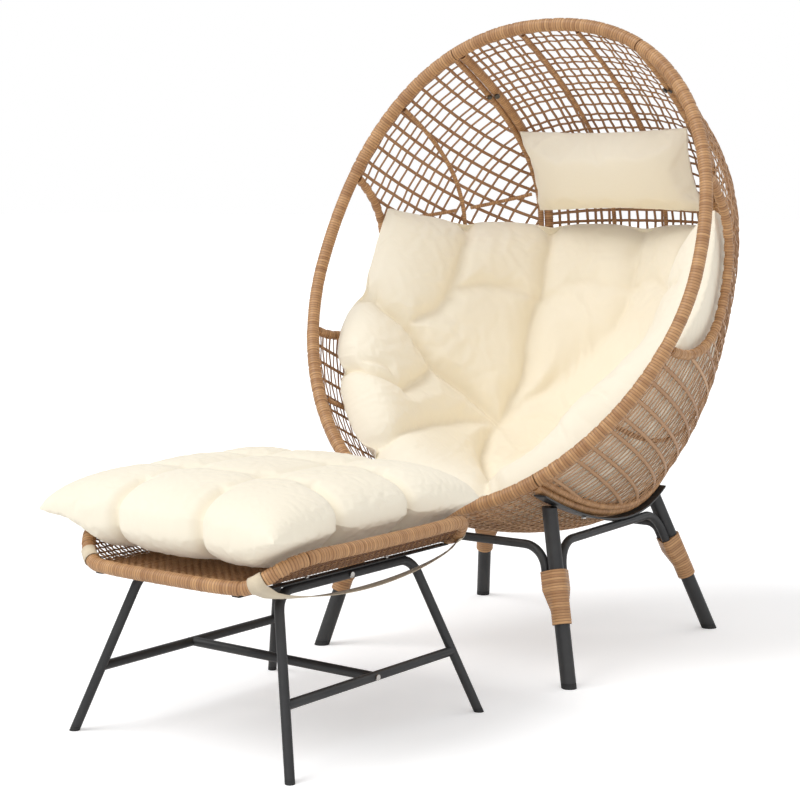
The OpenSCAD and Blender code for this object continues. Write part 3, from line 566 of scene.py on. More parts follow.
@dataclass
class Winding:
    """A tube wound with flat strand, turn beside turn."""

    radius: float
    pitch: float = 6.4
    sides: int = 16
    rise: float = 0.55
    across: tuple[float, float, float] = (1.0, 0.0, 0.0)
    seed: int = 1

    def build(
        self,
        path: np.ndarray,
        raised: Callable[[np.ndarray], np.ndarray] | None = None,
        closed: bool = False,
        section: Callable[[np.ndarray, np.ndarray], np.ndarray] | None = None,
        stock: MeshStock | None = None,
    ) -> MeshStock:
        """Wind a tube along a path.

        Args:
            path: the tube's middle line.
            raised: gives how far each turn stands out, by its distance along the path.
            closed: whether the path is a loop.
            section: gives the radius by distance along the path and angle in radians.
            stock: mesh to add to.

        Returns:
            The mesh stock with the wound tube in it.
        """
        rng = np.random.default_rng(self.seed)
        stock = stock or MeshStock()
        if closed:
            path = np.vstack([path, path[:1]])
        length = along(path)[-1]
        turns = max(2, round(length / self.pitch))
        step = length / turns
        inside = np.array([-0.5, -0.3, 0.0, 0.3])
        height = np.array([-0.9, 0.25, 0.55, 0.25])
        # Painted shade in the groove between turns: full at each turn's low edge, faint on its flanks.
        grooves = np.array([1.0, 0.16, 0.0, 0.16])
        index = np.repeat(np.arange(turns), 4)
        places = (index + 0.5 + np.tile(inside, turns)) * step
        lift = np.tile(height, turns) * self.rise + rng.normal(0, 0.12, turns)[index]
        if raised is not None:
            lift = lift + raised((index + 0.5) * step)
        centers = resampled(path, places)
        ahead = resampled(path, np.minimum(places + 2.0, length))
        behind = resampled(path, np.maximum(places - 2.0, 0.0))
        if closed:
            ahead = resampled(path, (places + 2.0) % length)
            behind = resampled(path, (places - 2.0) % length)
        forward = unit(ahead - behind)
        side = unit(np.cross(forward, np.asarray(self.across)))
        up = np.cross(side, forward)
        angle = np.arange(self.sides) * 2 * math.pi / self.sides
        base = np.full((len(places), self.sides), self.radius)
        if section is not None:
            base = section(places[:, None], angle[None, :])
        r = base + lift[:, None]
        lean = rng.normal(0, 0.09, turns)[index] * step
        rings = (
            centers[:, None]
            + r[..., None] * (np.cos(angle)[None, :, None] * side[:, None] + np.sin(angle)[None, :, None] * up[:, None])
            + (lean[:, None] * np.cos(angle)[None, :])[..., None] * forward[:, None]
        )
        stock.add_tube(
            rings,
            closed=closed,
            run=angle[None, :] * self.radius + index[:, None] * 83.0,
            turn=np.tile(inside * 2, turns),
            tone=rng.normal(0, 1.0, turns)[index],
            outer=np.ones(len(places)),
            groove=np.tile(grooves, turns),
        )
        return stock


class Shader:
    """A material's nodes while they are being laid out."""

    def __init__(self, name: str) -> None:
        """Start an empty material.

        Args:
            name: name of the material.
        """
        self.material = bpy.data.materials.new(name)
        self.material.use_nodes = True
        self.tree = self.material.node_tree
        self.tree.nodes.clear()
        self.surface = self.add("ShaderNodeBsdfPrincipled")
        output = self.add("ShaderNodeOutputMaterial")
        self.join(self.surface.outputs[0], output.inputs["Surface"])

    def add(self, kind: str, **settings: object) -> bpy.types.Node:
        """Add a node.

        Args:
            kind: the node's type name.
            settings: its properties.

        Returns:
            The new node.
        """
        node = self.tree.nodes.new(kind)
        for key, value in settings.items():
            setattr(node, key, value)
        return node

    def join(self, source: bpy.types.NodeSocket, target: bpy.types.NodeSocket) -> None:
        """Link two sockets.

        Args:
            source: the socket that gives.
            target: the socket that takes.
        """
        self.tree.links.new(source, target)

    def feed(self, socket: bpy.types.NodeSocket, value: object) -> None:
        """Give a socket a link, a number or a color.

        Args:
            socket: the socket to set.
            value: what it gets.
        """
        if isinstance(value, bpy.types.NodeSocket):
            self.join(value, socket)
        elif isinstance(value, tuple) and len(value) == 3 and socket.type == "RGBA":
            socket.default_value = (*value, 1.0)
        else:
            socket.default_value = value

    def attribute(self, name: str) -> bpy.types.NodeSocket:
        """The value that a piece's mesh carries under a name.

        Args:
            name: the attribute's name.

        Returns:
            The socket that gives it.
        """
        return self.add("ShaderNodeAttribute", attribute_name=name).outputs["Fac"]

    def math(self, kind: str, a: object, b: object = 0.0, c: object = 0.0) -> bpy.types.NodeSocket:
        """Work out a number.

        Args:
            kind: the operation.
            a: first value.
            b: second value.
            c: third value.

        Returns:
            The result's socket.
        """
        node = self.add("ShaderNodeMath", operation=kind)
        for socket, value in zip(node.inputs, (a, b, c)):
            self.feed(socket, value)
        return node.outputs[0]

    def blend(self, factor: object, a: object, b: object, kind: str = "MIX") -> bpy.types.NodeSocket:
        """Mix two colors.

        Args:
            factor: share of the second one.
            a: first color.
            b: second color.
            kind: how they mix.

        Returns:
            The mixed color's socket.
        """
        node = self.add("ShaderNodeMix", data_type="RGBA", blend_type=kind)
        self.feed(node.inputs["Factor"], factor)
        self.feed(node.inputs["A"], a)
        self.feed(node.inputs["B"], b)
        return node.outputs["Result"]

    def noise(
        self, vector: object, scale: float, detail: float = 2.0, roughness: float = 0.5
    ) -> bpy.types.NodeSocket:
        """Soft random values.

        Args:
            vector: coordinates, or None for the object's own.
            scale: how fine they are.
            detail: how many finer layers they have.
            roughness: how strong those are.

        Returns:
            The values' socket.
        """
        node = self.add("ShaderNodeTexNoise")
        node.inputs["Scale"].default_value = scale
        node.inputs["Detail"].default_value = detail
        node.inputs["Roughness"].default_value = roughness
        self.join(vector or self.place(), node.inputs["Vector"])
        return node.outputs["Fac"]

    def place(self) -> bpy.types.NodeSocket:
        """The place on the object, in metres.

        Returns:
            The places.
        """
        return self.add("ShaderNodeTexCoord").outputs["Object"]

    def vector(self, x: object, y: object, z: object) -> bpy.types.NodeSocket:
        """Join three numbers to a vector.

        Args:
            x: first number.
            y: second number.
            z: third number.

        Returns:
            The socket that gives it.
        """
        node = self.add("ShaderNodeCombineXYZ")
        for socket, value in zip(node.inputs, (x, y, z)):
            self.feed(socket, value)
        return node.outputs[0]

    def ramp(self, value: bpy.types.NodeSocket, low: float, high: float) -> bpy.types.NodeSocket:
        """Stretch values between two limits to the range 0 to 1.

        Args:
            value: the values.
            low: value that becomes 0.
            high: value that becomes 1.

        Returns:
            The stretched values.
        """
        node = self.add("ShaderNodeMapRange")
        node.inputs["From Min"].default_value = low
        node.inputs["From Max"].default_value = high
        self.join(value, node.inputs["Value"])
        return node.outputs[0]

    def bump(self, height: bpy.types.NodeSocket, distance: float, strength: float = 1.0) -> None:
        """Raise the surface by a height map.

        Args:
            height: the height, 0 to 1.
            distance: height of 1, in metres.
            strength: strength of the effect.
        """
        node = self.add("ShaderNodeBump")
        node.inputs["Distance"].default_value = distance
        node.inputs["Strength"].default_value = strength
        self.join(height, node.inputs["Height"])
        self.join(node.outputs[0], self.surface.inputs["Normal"])

    def set(self, **values: object) -> None:
        """Set the surface's own sockets, by their names with spaces as underscores."""
        for name, value in values.items():
            self.feed(self.surface.inputs[name.replace("_", " ")], value)


@dataclass(frozen=True)
class StrandFinish:
    """Flat plastic strand made to look like cane: streaked along its length, darker on its inner face (partly the
    strand's own darker tone, partly painted shade), with painted shade at its edges and in the grooves between wound
    turns.
    """

    name: str
    light: Color
    dark: Color
    # inside: colour of the inner face, partly the strand's darker tone and partly painted shade; also the colour of the
    # painted shade at edges and in grooves.
    inside: Color
    inner_tone_and_shade_share: float = 0.8
    roughness: float = 0.5

    def build(self) -> bpy.types.Material:
        """Lay out the material.

        Returns:
            The material.
        """
        s = Shader(self.name)
        run, turn, tone = s.attribute("run"), s.attribute("turn"), s.attribute("tone")
        streak_at = s.vector(
            s.math("MULTIPLY", run, 0.018), s.math("MULTIPLY", turn, 2.6), s.math("MULTIPLY", tone, 31.0)
        )
        streaks = s.noise(streak_at, 2.2, 4.0, 0.62)
        patches = s.noise(s.vector(s.math("MULTIPLY", run, 0.006), tone, 0.0), 1.6, 2.0)
        shade = s.math("MULTIPLY_ADD", tone, 0.17, streaks)
        color = s.blend(s.ramp(shade, 0.22, 0.82), self.dark, self.light)
        color = s.blend(s.math("MULTIPLY", s.ramp(patches, 0.45, 0.75), 0.22), color, self.dark)
        # Inner face darker: partly the strand's own second tone, partly painted shade.
        inner = s.math("MULTIPLY", s.ramp(s.attribute("outer"), 0.15, -0.4), self.inner_tone_and_shade_share)
        color = s.blend(inner, color, self.inside)
        # Painted shade at the strand's edges and in the grooves between wound turns.
        groove = s.math("POWER", s.attribute("groove"), 1.5)
        color = s.blend(s.math("MULTIPLY", groove, 0.72), color, self.inside)
        fine = s.noise(s.vector(s.math("MULTIPLY", run, 0.05), s.math("MULTIPLY", turn, 9.0), tone), 3.0, 3.0, 0.6)
        s.set(Base_Color=color, Roughness=s.math("MULTIPLY_ADD", fine, 0.22, self.roughness - 0.11))
        s.set(Specular_IOR_Level=0.42, Coat_Weight=0.06, Coat_Roughness=0.3)
        s.bump(s.math("MULTIPLY_ADD", streaks, 0.6, s.math("MULTIPLY", fine, 0.4)), 0.0006, 0.55)
        return s.material


@dataclass(frozen=True)
class ClothFinish:
    """Plain woven cover cloth with a fine thread, a soft sheen and faint creasing, with painted shade along the
    cushions' creases.
    """

    name: str
    color: Color
    deep: Color
    thread: float = 1150.0
    crease: float = 0.5

    def build(self) -> bpy.types.Material:
        """Lay out the material.

        Returns:
            The material.
        """
        s = Shader(self.name)
        warp = s.add("ShaderNodeTexWave", wave_type="BANDS", bands_direction="X", wave_profile="SIN")
        weft = s.add("ShaderNodeTexWave", wave_type="BANDS", bands_direction="Z", wave_profile="SIN")
        place = s.place()
        for node in (warp, weft):
            node.inputs["Scale"].default_value = self.thread / 6.3
            node.inputs["Distortion"].default_value = 0.6
            node.inputs["Detail Scale"].default_value = 1.5
            s.join(place, node.inputs["Vector"])
        weave = s.math("MULTIPLY", s.math("ADD", warp.outputs["Fac"], weft.outputs["Fac"]), 0.5)
        cloud = s.noise(None, 3.2, 3.0)
        slub = s.noise(None, 420.0, 2.0, 0.7)
        color = s.blend(s.math("MULTIPLY", s.ramp(cloud, 0.35, 0.7), 0.3), self.color, self.deep)
        color = s.blend(s.math("MULTIPLY", s.ramp(slub, 0.4, 0.75), 0.16), color, self.deep)
        # The seam value darkens the cloth: painted shade along the cushions' creases; on the straps it is darker
        # towards the side edges.
        color = s.blend(s.math("MULTIPLY", s.attribute("seam"), 0.55), color, self.deep)
        rumple = s.noise(None, 26.0, 4.0, 0.55)
        height = s.math("MULTIPLY_ADD", weave, 0.1, s.math("MULTIPLY", slub, 0.14))
        height = s.math("MULTIPLY_ADD", rumple, self.crease, height)
        s.set(Base_Color=color, Roughness=0.88, Specular_IOR_Level=0.25)
        s.set(Sheen_Weight=0.22, Sheen_Roughness=0.45)
        s.bump(height, 0.0016, 0.35)
        return s.material


@dataclass(frozen=True)
class CoatedFinish:
    """Powder-coated steel: satin, with a fine pebble and paler wear."""

    name: str
    color: Color
    worn: Color
    roughness: float = 0.38
    pebble: float = 900.0

    def build(self) -> bpy.types.Material:
        """Lay out the material.

        Returns:
            The material.
        """
        s = Shader(self.name)
        cloud = s.noise(None, 9.0, 4.0, 0.6)
        grain = s.noise(None, self.pebble, 2.0, 0.6)
        dust = s.ramp(s.noise(None, 55.0, 5.0, 0.7), 0.52, 0.78)
        color = s.blend(s.math("MULTIPLY", s.ramp(cloud, 0.4, 0.7), 0.5), self.color, self.worn)
        color = s.blend(s.math("MULTIPLY", dust, 0.25), color, self.worn)
        rough = s.math("MULTIPLY_ADD", cloud, 0.16, self.roughness - 0.06)
        s.set(Base_Color=color, Roughness=s.math("MULTIPLY_ADD", grain, 0.06, rough), Specular_IOR_Level=0.5)
        s.bump(grain, 0.00025, 0.35)
        return s.material


@dataclass(frozen=True)
class MetalFinish:
    """Bare or plated metal with turning marks."""

    name: str
    color: Color
    roughness: float = 0.22

    def build(self) -> bpy.types.Material:
        """Lay out the material.

        Returns:
            The material.
        """
        s = Shader(self.name)
        marks = s.noise(None, 700.0, 3.0, 0.6)
        smear = s.noise(None, 60.0, 3.0)
        color = s.blend(s.math("MULTIPLY", smear, 0.25), self.color, (0.22, 0.21, 0.2))
        s.set(Base_Color=color, Roughness=s.math("MULTIPLY_ADD", marks, 0.2, self.roughness - 0.1))
        s.set(Metallic=1.0)
        s.bump(marks, 0.0001, 0.3)
        return s.material


@dataclass(frozen=True)
class MouldedFinish:
    """Moulded plastic of the foot caps."""

    name: str
    color: Color
    roughness: float = 0.55

    def build(self) -> bpy.types.Material:
        """Lay out the material.

        Returns:
            The material.
        """
        s = Shader(self.name)
        grain = s.noise(None, 1300.0, 2.0, 0.6)
        scuff = s.ramp(s.noise(None, 120.0, 4.0, 0.7), 0.5, 0.8)
        color = s.blend(s.math("MULTIPLY", scuff, 0.3), self.color, (0.09, 0.088, 0.085))
        s.set(Base_Color=color, Roughness=s.math("MULTIPLY_ADD", grain, 0.12, self.roughness))
        s.bump(grain, 0.0002, 0.4)
        return s.material


@dataclass
class Finishes:
    """Every finish of the set, built once."""

    shell_weave: bpy.types.Material = field(init=False)
    winding: bpy.types.Material = field(init=False)
    stool_weave: bpy.types.Material = field(init=False)
    cloth: bpy.types.Material = field(init=False)
    webbing: bpy.types.Material = field(init=False)
    black_tube: bpy.types.Material = field(init=False)
    dark_bolt: bpy.types.Material = field(init=False)
    bright_bolt: bpy.types.Material = field(init=False)
    foot: bpy.types.Material = field(init=False)

    def __post_init__(self) -> None:
        """Build the materials."""
        # Colour of the inner faces (partly the strand's darker tone, partly painted shade) and of the painted shade in
        # grooves and at edges.
        inner_tone_and_shade_brown = (0.125, 0.052, 0.022)
        self.shell_weave = StrandFinish(
            "shell_strand", (0.58, 0.35, 0.185), (0.36, 0.185, 0.085), (0.3, 0.145, 0.066), 0.65
        ).build()
        self.winding = StrandFinish("wound_strand", (0.6, 0.34, 0.155), (0.38, 0.19, 0.08), inner_tone_and_shade_brown, 0.7, 0.44).build()
        self.stool_weave = StrandFinish("stool_strand", (0.5, 0.28, 0.13), (0.3, 0.15, 0.065), inner_tone_and_shade_brown, 0.8).build()
        self.cloth = ClothFinish("cream_cloth", (0.93, 0.86, 0.71), (0.85, 0.755, 0.58)).build()
        self.webbing = ClothFinish("strap_webbing", (0.74, 0.64, 0.48), (0.5, 0.41, 0.29), 2400.0, 0.1).build()
        self.black_tube = CoatedFinish("black_tube", (0.021, 0.021, 0.022), (0.05, 0.049, 0.047)).build()
        self.dark_bolt = MetalFinish("dark_bolt", (0.09, 0.088, 0.085), 0.35).build()
        self.bright_bolt = MetalFinish("bright_bolt", (0.62, 0.6, 0.57)).build()
        self.foot = MouldedFinish("foot_plastic", (0.014, 0.014, 0.014)).build()


@dataclass
class Studio:
    """Camera, lamps and the pale floor."""

    azimuth: float = 35.594
    elevation: float = 6.364
    lens: float = 84.3
    place: tuple[float, float, float] = (2.2983, -3.37830, 1.0469)
    floor_color: Color = (0.93, 0.93, 0.93)

    def build(self) -> None:
        """Set up the studio."""
        self.camera()
        self.lamps()
        self.world()
        self.floor()

    def camera(self) -> None:
        """Stand the camera in its place."""
        data = bpy.data.cameras.new("camera")
        data.lens = self.lens
        data.sensor_width = 36.0
        data.clip_end = 200.0
        camera = bpy.data.objects.new("camera", data)
        camera.location = self.place
        camera.rotation_euler = (math.radians(90.0 - self.elevation), 0.0, math.radians(self.azimuth))
        bpy.context.scene.collection.objects.link(camera)
        bpy.context.scene.camera = camera
        bpy.context.scene.view_settings.view_transform = "Standard"

    @staticmethod
    def lamp(name: str, energy: float, spread: float, direction: tuple[float, float, float]) -> None:
        """Hang a wide soft lamp far off.

        Args:
            name: its name.
            energy: its strength.
            spread: how wide it is, in degrees.
            direction: where its light comes from.
        """
        data = bpy.data.lights.new(name, "SUN")
        data.energy = energy
        data.angle = math.radians(spread)
        lamp = bpy.data.objects.new(name, data)
        lamp.rotation_euler = Vector(direction).to_track_quat("Z", "Y").to_euler()
        bpy.context.scene.collection.objects.link(lamp)

    def lamps(self) -> None:
        """Hang the lamps: a key from the front left, a fill, a rim light and a low one from ahead."""
        self.lamp("key", 1.55, 38.0, (-0.55, -0.75, 1.15))
        self.lamp("fill", 0.5, 70.0, (1.0, -0.35, 0.6))
        self.lamp("back", 0.45, 50.0, (0.2, 0.9, 0.75))
        self.lamp("front", 0.4, 60.0, (0.1, -1.0, 0.4))

    @staticmethod
    def world() -> None:
        """Make the surroundings even, and white to the camera."""
        world = bpy.data.worlds.new("studio")
        world.use_nodes = True
        tree = world.node_tree
        tree.nodes.clear()
        output = tree.nodes.new("ShaderNodeOutputWorld")
        around = tree.nodes.new("ShaderNodeBackground")
        seen = tree.nodes.new("ShaderNodeBackground")
        mix = tree.nodes.new("ShaderNodeMixShader")
        path = tree.nodes.new("ShaderNodeLightPath")
        around.inputs["Color"].default_value = (0.97, 0.98, 1.0, 1.0)
        around.inputs["Strength"].default_value = 0.5
        seen.inputs["Color"].default_value = (1.0, 1.0, 1.0, 1.0)
        seen.inputs["Strength"].default_value = 1.0
        tree.links.new(path.outputs["Is Camera Ray"], mix.inputs[0])
        tree.links.new(around.outputs[0], mix.inputs[1])
        tree.links.new(seen.outputs[0], mix.inputs[2])
        tree.links.new(mix.outputs[0], output.inputs[0])
        bpy.context.scene.world = world

    def floor(self) -> None:
        """Lay a wide pale floor that keeps the shadows."""
        shape = bmesh.new()
        bmesh.ops.create_grid(shape, x_segments=8, y_segments=8, size=60.0)
        mesh = bpy.data.meshes.new("floor")
        shape.to_mesh(mesh)
        shape.free()
        floor = bpy.data.objects.new("floor", mesh)
        bpy.context.scene.collection.objects.link(floor)
        s = Shader("floor")
        grain = s.noise(None, 40.0, 3.0)
        color = s.blend(s.math("MULTIPLY", grain, 0.04), self.floor_color, (0.88, 0.88, 0.88))
        s.set(Base_Color=color, Roughness=0.85)
        s.set(Specular_IOR_Level=0.1, Emission_Color=(1.0, 1.0, 1.0))
        seen = s.add("ShaderNodeLightPath").outputs["Is Camera Ray"]
        s.join(s.math("MULTIPLY", seen, 0.3), s.surface.inputs["Emission Strength"])
        mesh.materials.append(s.material)


@dataclass
class WovenShell:
    """The egg's woven panels, its rim and the wound tubes between them."""

    finishes: Finishes
    form: EggForm = field(default_factory=EggForm)
    seam_x: float = 238.0
    seam_r: float = 12.0
    side_r: float = 8.0
    gap: float = 0.9
    window_x: float = 472.0
    window_r: float = 10.0
    rib_r: float = 6.0
    rib_xs: tuple[float, float] = (75.0, 385.0)
    weave_half: float = 3.0
    strand_w: float = 7.4
    ply: float = 1.15
    band_z: float = 1020.0
    side_band_z: tuple[float, float] = (1042.0, 980.0)
    side_span: tuple[float, float] = (267.8, 450.25)
    seed: int = 7

    def build(self) -> None:
        """Weave the panels and wind the tubes."""
        self.center_steps = self.center_places()
        self.weave_center()
        for side in (-1, 1):
            self.weave_side(side)
        self.wind_rim()
        self.wind_tubes()
        self.wind_bands()

    # ---- middle panel ----

    def center_places(self) -> np.ndarray:
        """Distances along the middle line at which strands cross the middle panel.

        Returns:
            Distances from the top of the rim, in millimetres: open behind the head, close under the seat.
        """
        rng = np.random.default_rng(self.seed)
        s = np.linspace(1.0, -1.0, 2001)
        self.center_line = self.form.point(np.zeros_like(s), s)
        self.center_s = s
        total = along(self.center_line)[-1]
        places, at = [], 9.0
        pattern = (24.0, 22.0, 36.0, 35.0, 21.0, 29.0, 27.0, 28.0)
        count = 0
        while at < total - 8.0:
            places.append(at)
            share = at / total
            close = float(ease(np.array((share - 0.56) / 0.1)))
            step = pattern[count % len(pattern)] * (1 - close) + 11.5 * close
            at += step + rng.normal(0, 0.8)
            count += 1
        return np.array(places)

    def center_xs(self) -> np.ndarray:
        """Distances from the middle plane of the strands that run up the middle panel.

        Returns:
            The distances, in millimetres.
        """
        half = [13.0, 37.0, 60.0, 91.0, 114.0, 128.0, 151.0, 173.0, 196.0, 215.0]
        return np.array([-x for x in reversed(half)] + half)

    def plane_cut(self, xs: np.ndarray, place: float) -> np.ndarray:
        """Places on the shell where a cross strand runs.

        Args:
            xs: distances from the middle plane.
            place: distance of the strand along the middle line.

        Returns:
            The shell's s value for each x.
        """
        run = along(self.center_line)
        mid = resampled(self.center_line, np.array([place]))[0]
        ahead = resampled(self.center_line, np.array([place + 4.0]))[0]
        behind = resampled(self.center_line, np.array([max(place - 4.0, 0.0)]))[0]
        direction = unit(ahead - behind)
        start = float(np.interp(place, run, self.center_s))
        span = np.linspace(-0.16, 0.16, 65)
        s = np.clip(start + span[None, :], -1.0, 1.0) * np.ones((len(xs), 1))
        level = np.einsum("ijk,k->ij", self.form.point(xs[:, None], s) - mid, direction)
        best = np.argmin(np.abs(level), axis=1)
        rows = np.arange(len(xs))
        low = np.clip(best, 1, s.shape[1] - 2)
        slope = (level[rows, low + 1] - level[rows, low - 1]) / (s[rows, low + 1] - s[rows, low - 1] + 1e-9)
        guess = s[rows, low] - level[rows, low] / np.where(np.abs(slope) > 1.0, slope, 1e9)
        return np.clip(guess, -1.0, 1.0)

    def weave_center(self) -> None:
        """Weave the middle panel."""
        rng = np.random.default_rng(self.seed + 1)
        stock = MeshStock()
        maker = StrandMaker(stock, rng)
        xs_up = self.center_xs()
        edge = self.seam_x - 4.0
        xs = np.linspace(-edge, edge, 77)
        cross_s = []
        for j, place in enumerate(self.center_steps):
            s = self.plane_cut(xs, place)
            cross_s.append(s)
            path = self.form.point(xs, s)
            out = -self.form.normal(xs, s)
            phase = np.interp(xs, xs_up, np.arange(len(xs_up)), left=-0.7, right=len(xs_up) - 0.3)
            offset = self.ply * np.cos(math.pi * (phase + j))
            close = self.center_steps[j] > 0.62 * along(self.center_line)[-1]
            maker.lay(path, out, 5.4 if close else self.strand_w, offset)
        cross_s = np.array(cross_s)
        for i, x in enumerate(xs_up):
            marks = np.array([np.interp(x, xs, row) for row in cross_s])
            s = np.linspace(0.999, -0.999, 420)
            keep = along(self.form.point(np.full_like(s, x), s))
            s = np.interp(np.arange(0, keep[-1], 5.0), keep, s)
            phase = np.interp(-s, -marks, np.arange(len(marks)))
            offset = -self.ply * np.cos(math.pi * (phase + i))
            xx = np.full_like(s, x) + 1.2 * np.sin(np.linspace(0, 5, len(s)) + x)
            maker.lay(self.form.point(xx, s), -self.form.normal(xx, s), self.strand_w, offset)
        place_piece(
            "center_weave", stock.mesh("center_weave"), self.finishes.shell_weave, Body.CHAIR,
            ["center_panel"],
        )

    # ---- side panels ----

    def depth_angle(self, depth: float) -> float:
        """Ring angle at a depth behind the rim.

        Args:
            depth: depth behind the rim, in millimetres.

        Returns:
            The angle, in degrees.
        """
        return math.degrees(math.asin((depth / self.form.depth) ** (self.form.depth_fullness / 2)))

    def side_point(self, w: np.ndarray, f: np.ndarray) -> tuple[np.ndarray, np.ndarray]:
        """Point of the right side by its height along the rim and its ring.

        Args:
            w: height along the leaning rim.
            f: ring angle in degrees.

        Returns:
            The points and whether each one is on the shell.
        """
        form = self.form
        fr = np.radians(f)
        k = np.cos(fr) ** (2 / form.height_fullness)
        v = (w + form.drop * (1 - k) - form.lift * k * (1 - k)) / k
        high = v >= 0
        n = np.where(high, form.upper_fullness, form.lower_fullness) + form.squaring * np.sin(fr) ** 2
        share = np.abs(v) / np.where(high, form.upper, form.lower)
        good = share < 0.9995
        t = np.degrees(np.arcsin(np.minimum(share, 0.9995) ** (n / 2)))
        return form.ring(f, np.where(high, t, -t), high), good

    def side_normal(self, points: np.ndarray, w: np.ndarray, f: np.ndarray) -> np.ndarray:
        """Direction away from the egg at side points.

        Args:
            points: the points.
            w: share of the way round the side.
            f: angle round the shell, in degrees.

        Returns:
            Directions of length 1.
        """
        a = self.side_point(w, f + 0.3)[0] - self.side_point(w, f - 0.3)[0]
        b = self.side_point(w + 1.5, f)[0] - self.side_point(w - 1.5, f)[0]
        n = unit(np.cross(a, b))
        turn = np.sum(n * (points - self.form.heart), axis=-1, keepdims=True) > 0
        return np.where(turn, n, -n)

    def ring_depths(self) -> tuple[np.ndarray, np.ndarray]:
        """Depths behind the rim of the side panels' long strands, and which of them stop halfway.

        Returns:
            Depths, and for each whether it only runs in the close lower part.
        """
        rng = np.random.default_rng(self.seed + 2)
        pattern = (20.0, 26.0, 30.0, 22.0, 27.0, 34.0)
        depths, extra, at, count = [], [], 22.0, 0
        while at < 560.0:
            depths.append(at)
            extra.append(False)
            step = pattern[count % len(pattern)] + rng.normal(0, 1.0)
            depths.append(at + step / 2)
            extra.append(True)
            at += step
            count += 1
        return np.array(depths), np.array(extra)

    def side_heights(self) -> np.ndarray:
        """Heights along the rim at which strands run from the rim into the side panels.

        Returns:
            The heights, in millimetres.
        """
        rng = np.random.default_rng(self.seed + 3)
        steps = rng.choice([24.0, 30.0, 31.0, 33.0, 42.0], 60, p=[0.2, 0.25, 0.25, 0.2, 0.1])
        heights = -self.form.lower + 14.0 + np.cumsum(np.where(np.arange(60) < 11, steps * 1.28, steps))
        return heights[heights < self.form.upper - 8.0]

    def weave_side(self, side: int) -> None:
        """Weave one side panel.

        Args:
            side: 1 for the right panel, -1 for the left one.
        """
        rng = np.random.default_rng(self.seed + 10 + side)
        stock = MeshStock()
        maker = StrandMaker(stock, rng)
        inner = self.seam_x + self.seam_r + 2.0
        outer = self.window_x - 2.0
        heights = self.side_heights()
        depths, extra = self.ring_depths()
        mirror = np.array([side, 1.0, 1.0])
        for j, (depth, only_low) in enumerate(zip(depths, extra)):
            f = self.depth_angle(depth)
            w = np.arange(-self.form.lower - 60, self.form.upper + 60, 4.0)
            path, good = self.side_point(w, np.full_like(w, f))
            low_limit = -95.0 + 30.0 * math.sin(j * 2.4)
            keep = good & (path[:, 0] > inner) & (path[:, 0] < outer)
            if only_low:
                keep &= w < low_limit
            out = self.side_normal(path, w, np.full_like(w, f))
            phase = np.interp(w, heights, np.arange(len(heights)))
            offset = self.ply * np.cos(math.pi * (phase + j))
            for run in self.stretches(keep):
                width = 4.8 if only_low else 6.6
                maker.lay(path[run] * mirror, out[run] * mirror, width, offset[run])
        for i, w0 in enumerate(heights):
            f = np.linspace(self.depth_angle(8.0), 60.5, 270)
            w = np.full_like(f, w0)
            path, good = self.side_point(w, f)
            keep = good & (path[:, 0] > inner) & (path[:, 0] < outer)
            out = self.side_normal(path, w, f)
            depth = self.form.depth * np.sin(np.radians(f)) ** (2 / self.form.depth_fullness)
            low = w0 < -95.0
            marks = depths if low else depths[~extra]
            phase = np.interp(depth, marks, np.arange(len(marks)))
            offset = -self.ply * np.cos(math.pi * (phase + i))
            if low:
                offset = 1.5 + 0.35 * offset
            for run in self.stretches(keep):
                picked = path[run]
                places = np.arange(0.0, along(picked)[-1], 5.0)
                fine = resampled(picked, places)
                fine_out = unit(resampled(out[run], along(out[run])[-1] * places / max(places[-1], 1e-6)))
                fine_offset = np.interp(places, along(picked), offset[run])
                width = 9.6 if low else self.strand_w + 0.6
                maker.lay(fine * mirror, fine_out * mirror, width, fine_offset)
        name = "right" if side > 0 else "left"
        place_piece(
            f"{name}_weave", stock.mesh(f"{name}_weave"), self.finishes.shell_weave, Body.CHAIR,
            [f"{name}_panel"],
        )

    @staticmethod
    def stretches(keep: np.ndarray) -> list[slice]:
        """Runs of points that are kept.

        Args:
            keep: whether each point is kept.

        Returns:
            Slices of at least four kept points.
        """
        edges = np.flatnonzero(np.diff(np.concatenate([[0], keep.astype(int), [0]])))
        return [slice(a, b) for a, b in zip(edges[::2], edges[1::2]) if b - a >= 4]

    # ---- rim and tubes ----

    def wind_rim(self) -> None:
        """Wind the rim's four lengths, with the weave's ends wound over it where a panel meets it."""
        x = self.seam_x + self.seam_r
        high, low = self.form.rim_angle(x, True), self.form.rim_angle(x, False)
        lengths = {
            "rim_top": (high + 0.05, 180 - high - 0.05),
            "rim_left": (180 - high + 0.05, 180 - low - 0.05),
            "rim_front": (-180 - low + 0.05, low - 0.05),
            "rim_right": (low + 0.05, high - 0.05),
        }
        for count, (name, (start, end)) in enumerate(lengths.items()):
            path = self.form.rim(np.linspace(start, end, 400))
            run = along(path)
            winding = Winding(14.3, seed=20 + count, across=tuple(self.form.back), sides=18)

            def raised(places: np.ndarray, path: np.ndarray = path, run: np.ndarray = run) -> np.ndarray:
                """How far the weave's ends stand out over the rim, by distance along it.

                Args:
                    places: distances along the tube.
                    path: points of the path, N by 3.
                    run: distances along the path.

                Returns:
                    Distances, in millimetres.
                """
                x_at = np.abs(np.interp(places, run, path[:, 0]))
                covered = x_at < self.window_x - 2
                block = 36.0
                inside = (places % block) / block
                group = np.where(inside < 0.84, 0.75, -0.5)
                return np.where(covered, group, 0.0)

            stock = winding.build(path, raised)
            place_piece(
                f"{name}_winding", stock.mesh(name), self.finishes.winding, Body.CHAIR, [name]
            )

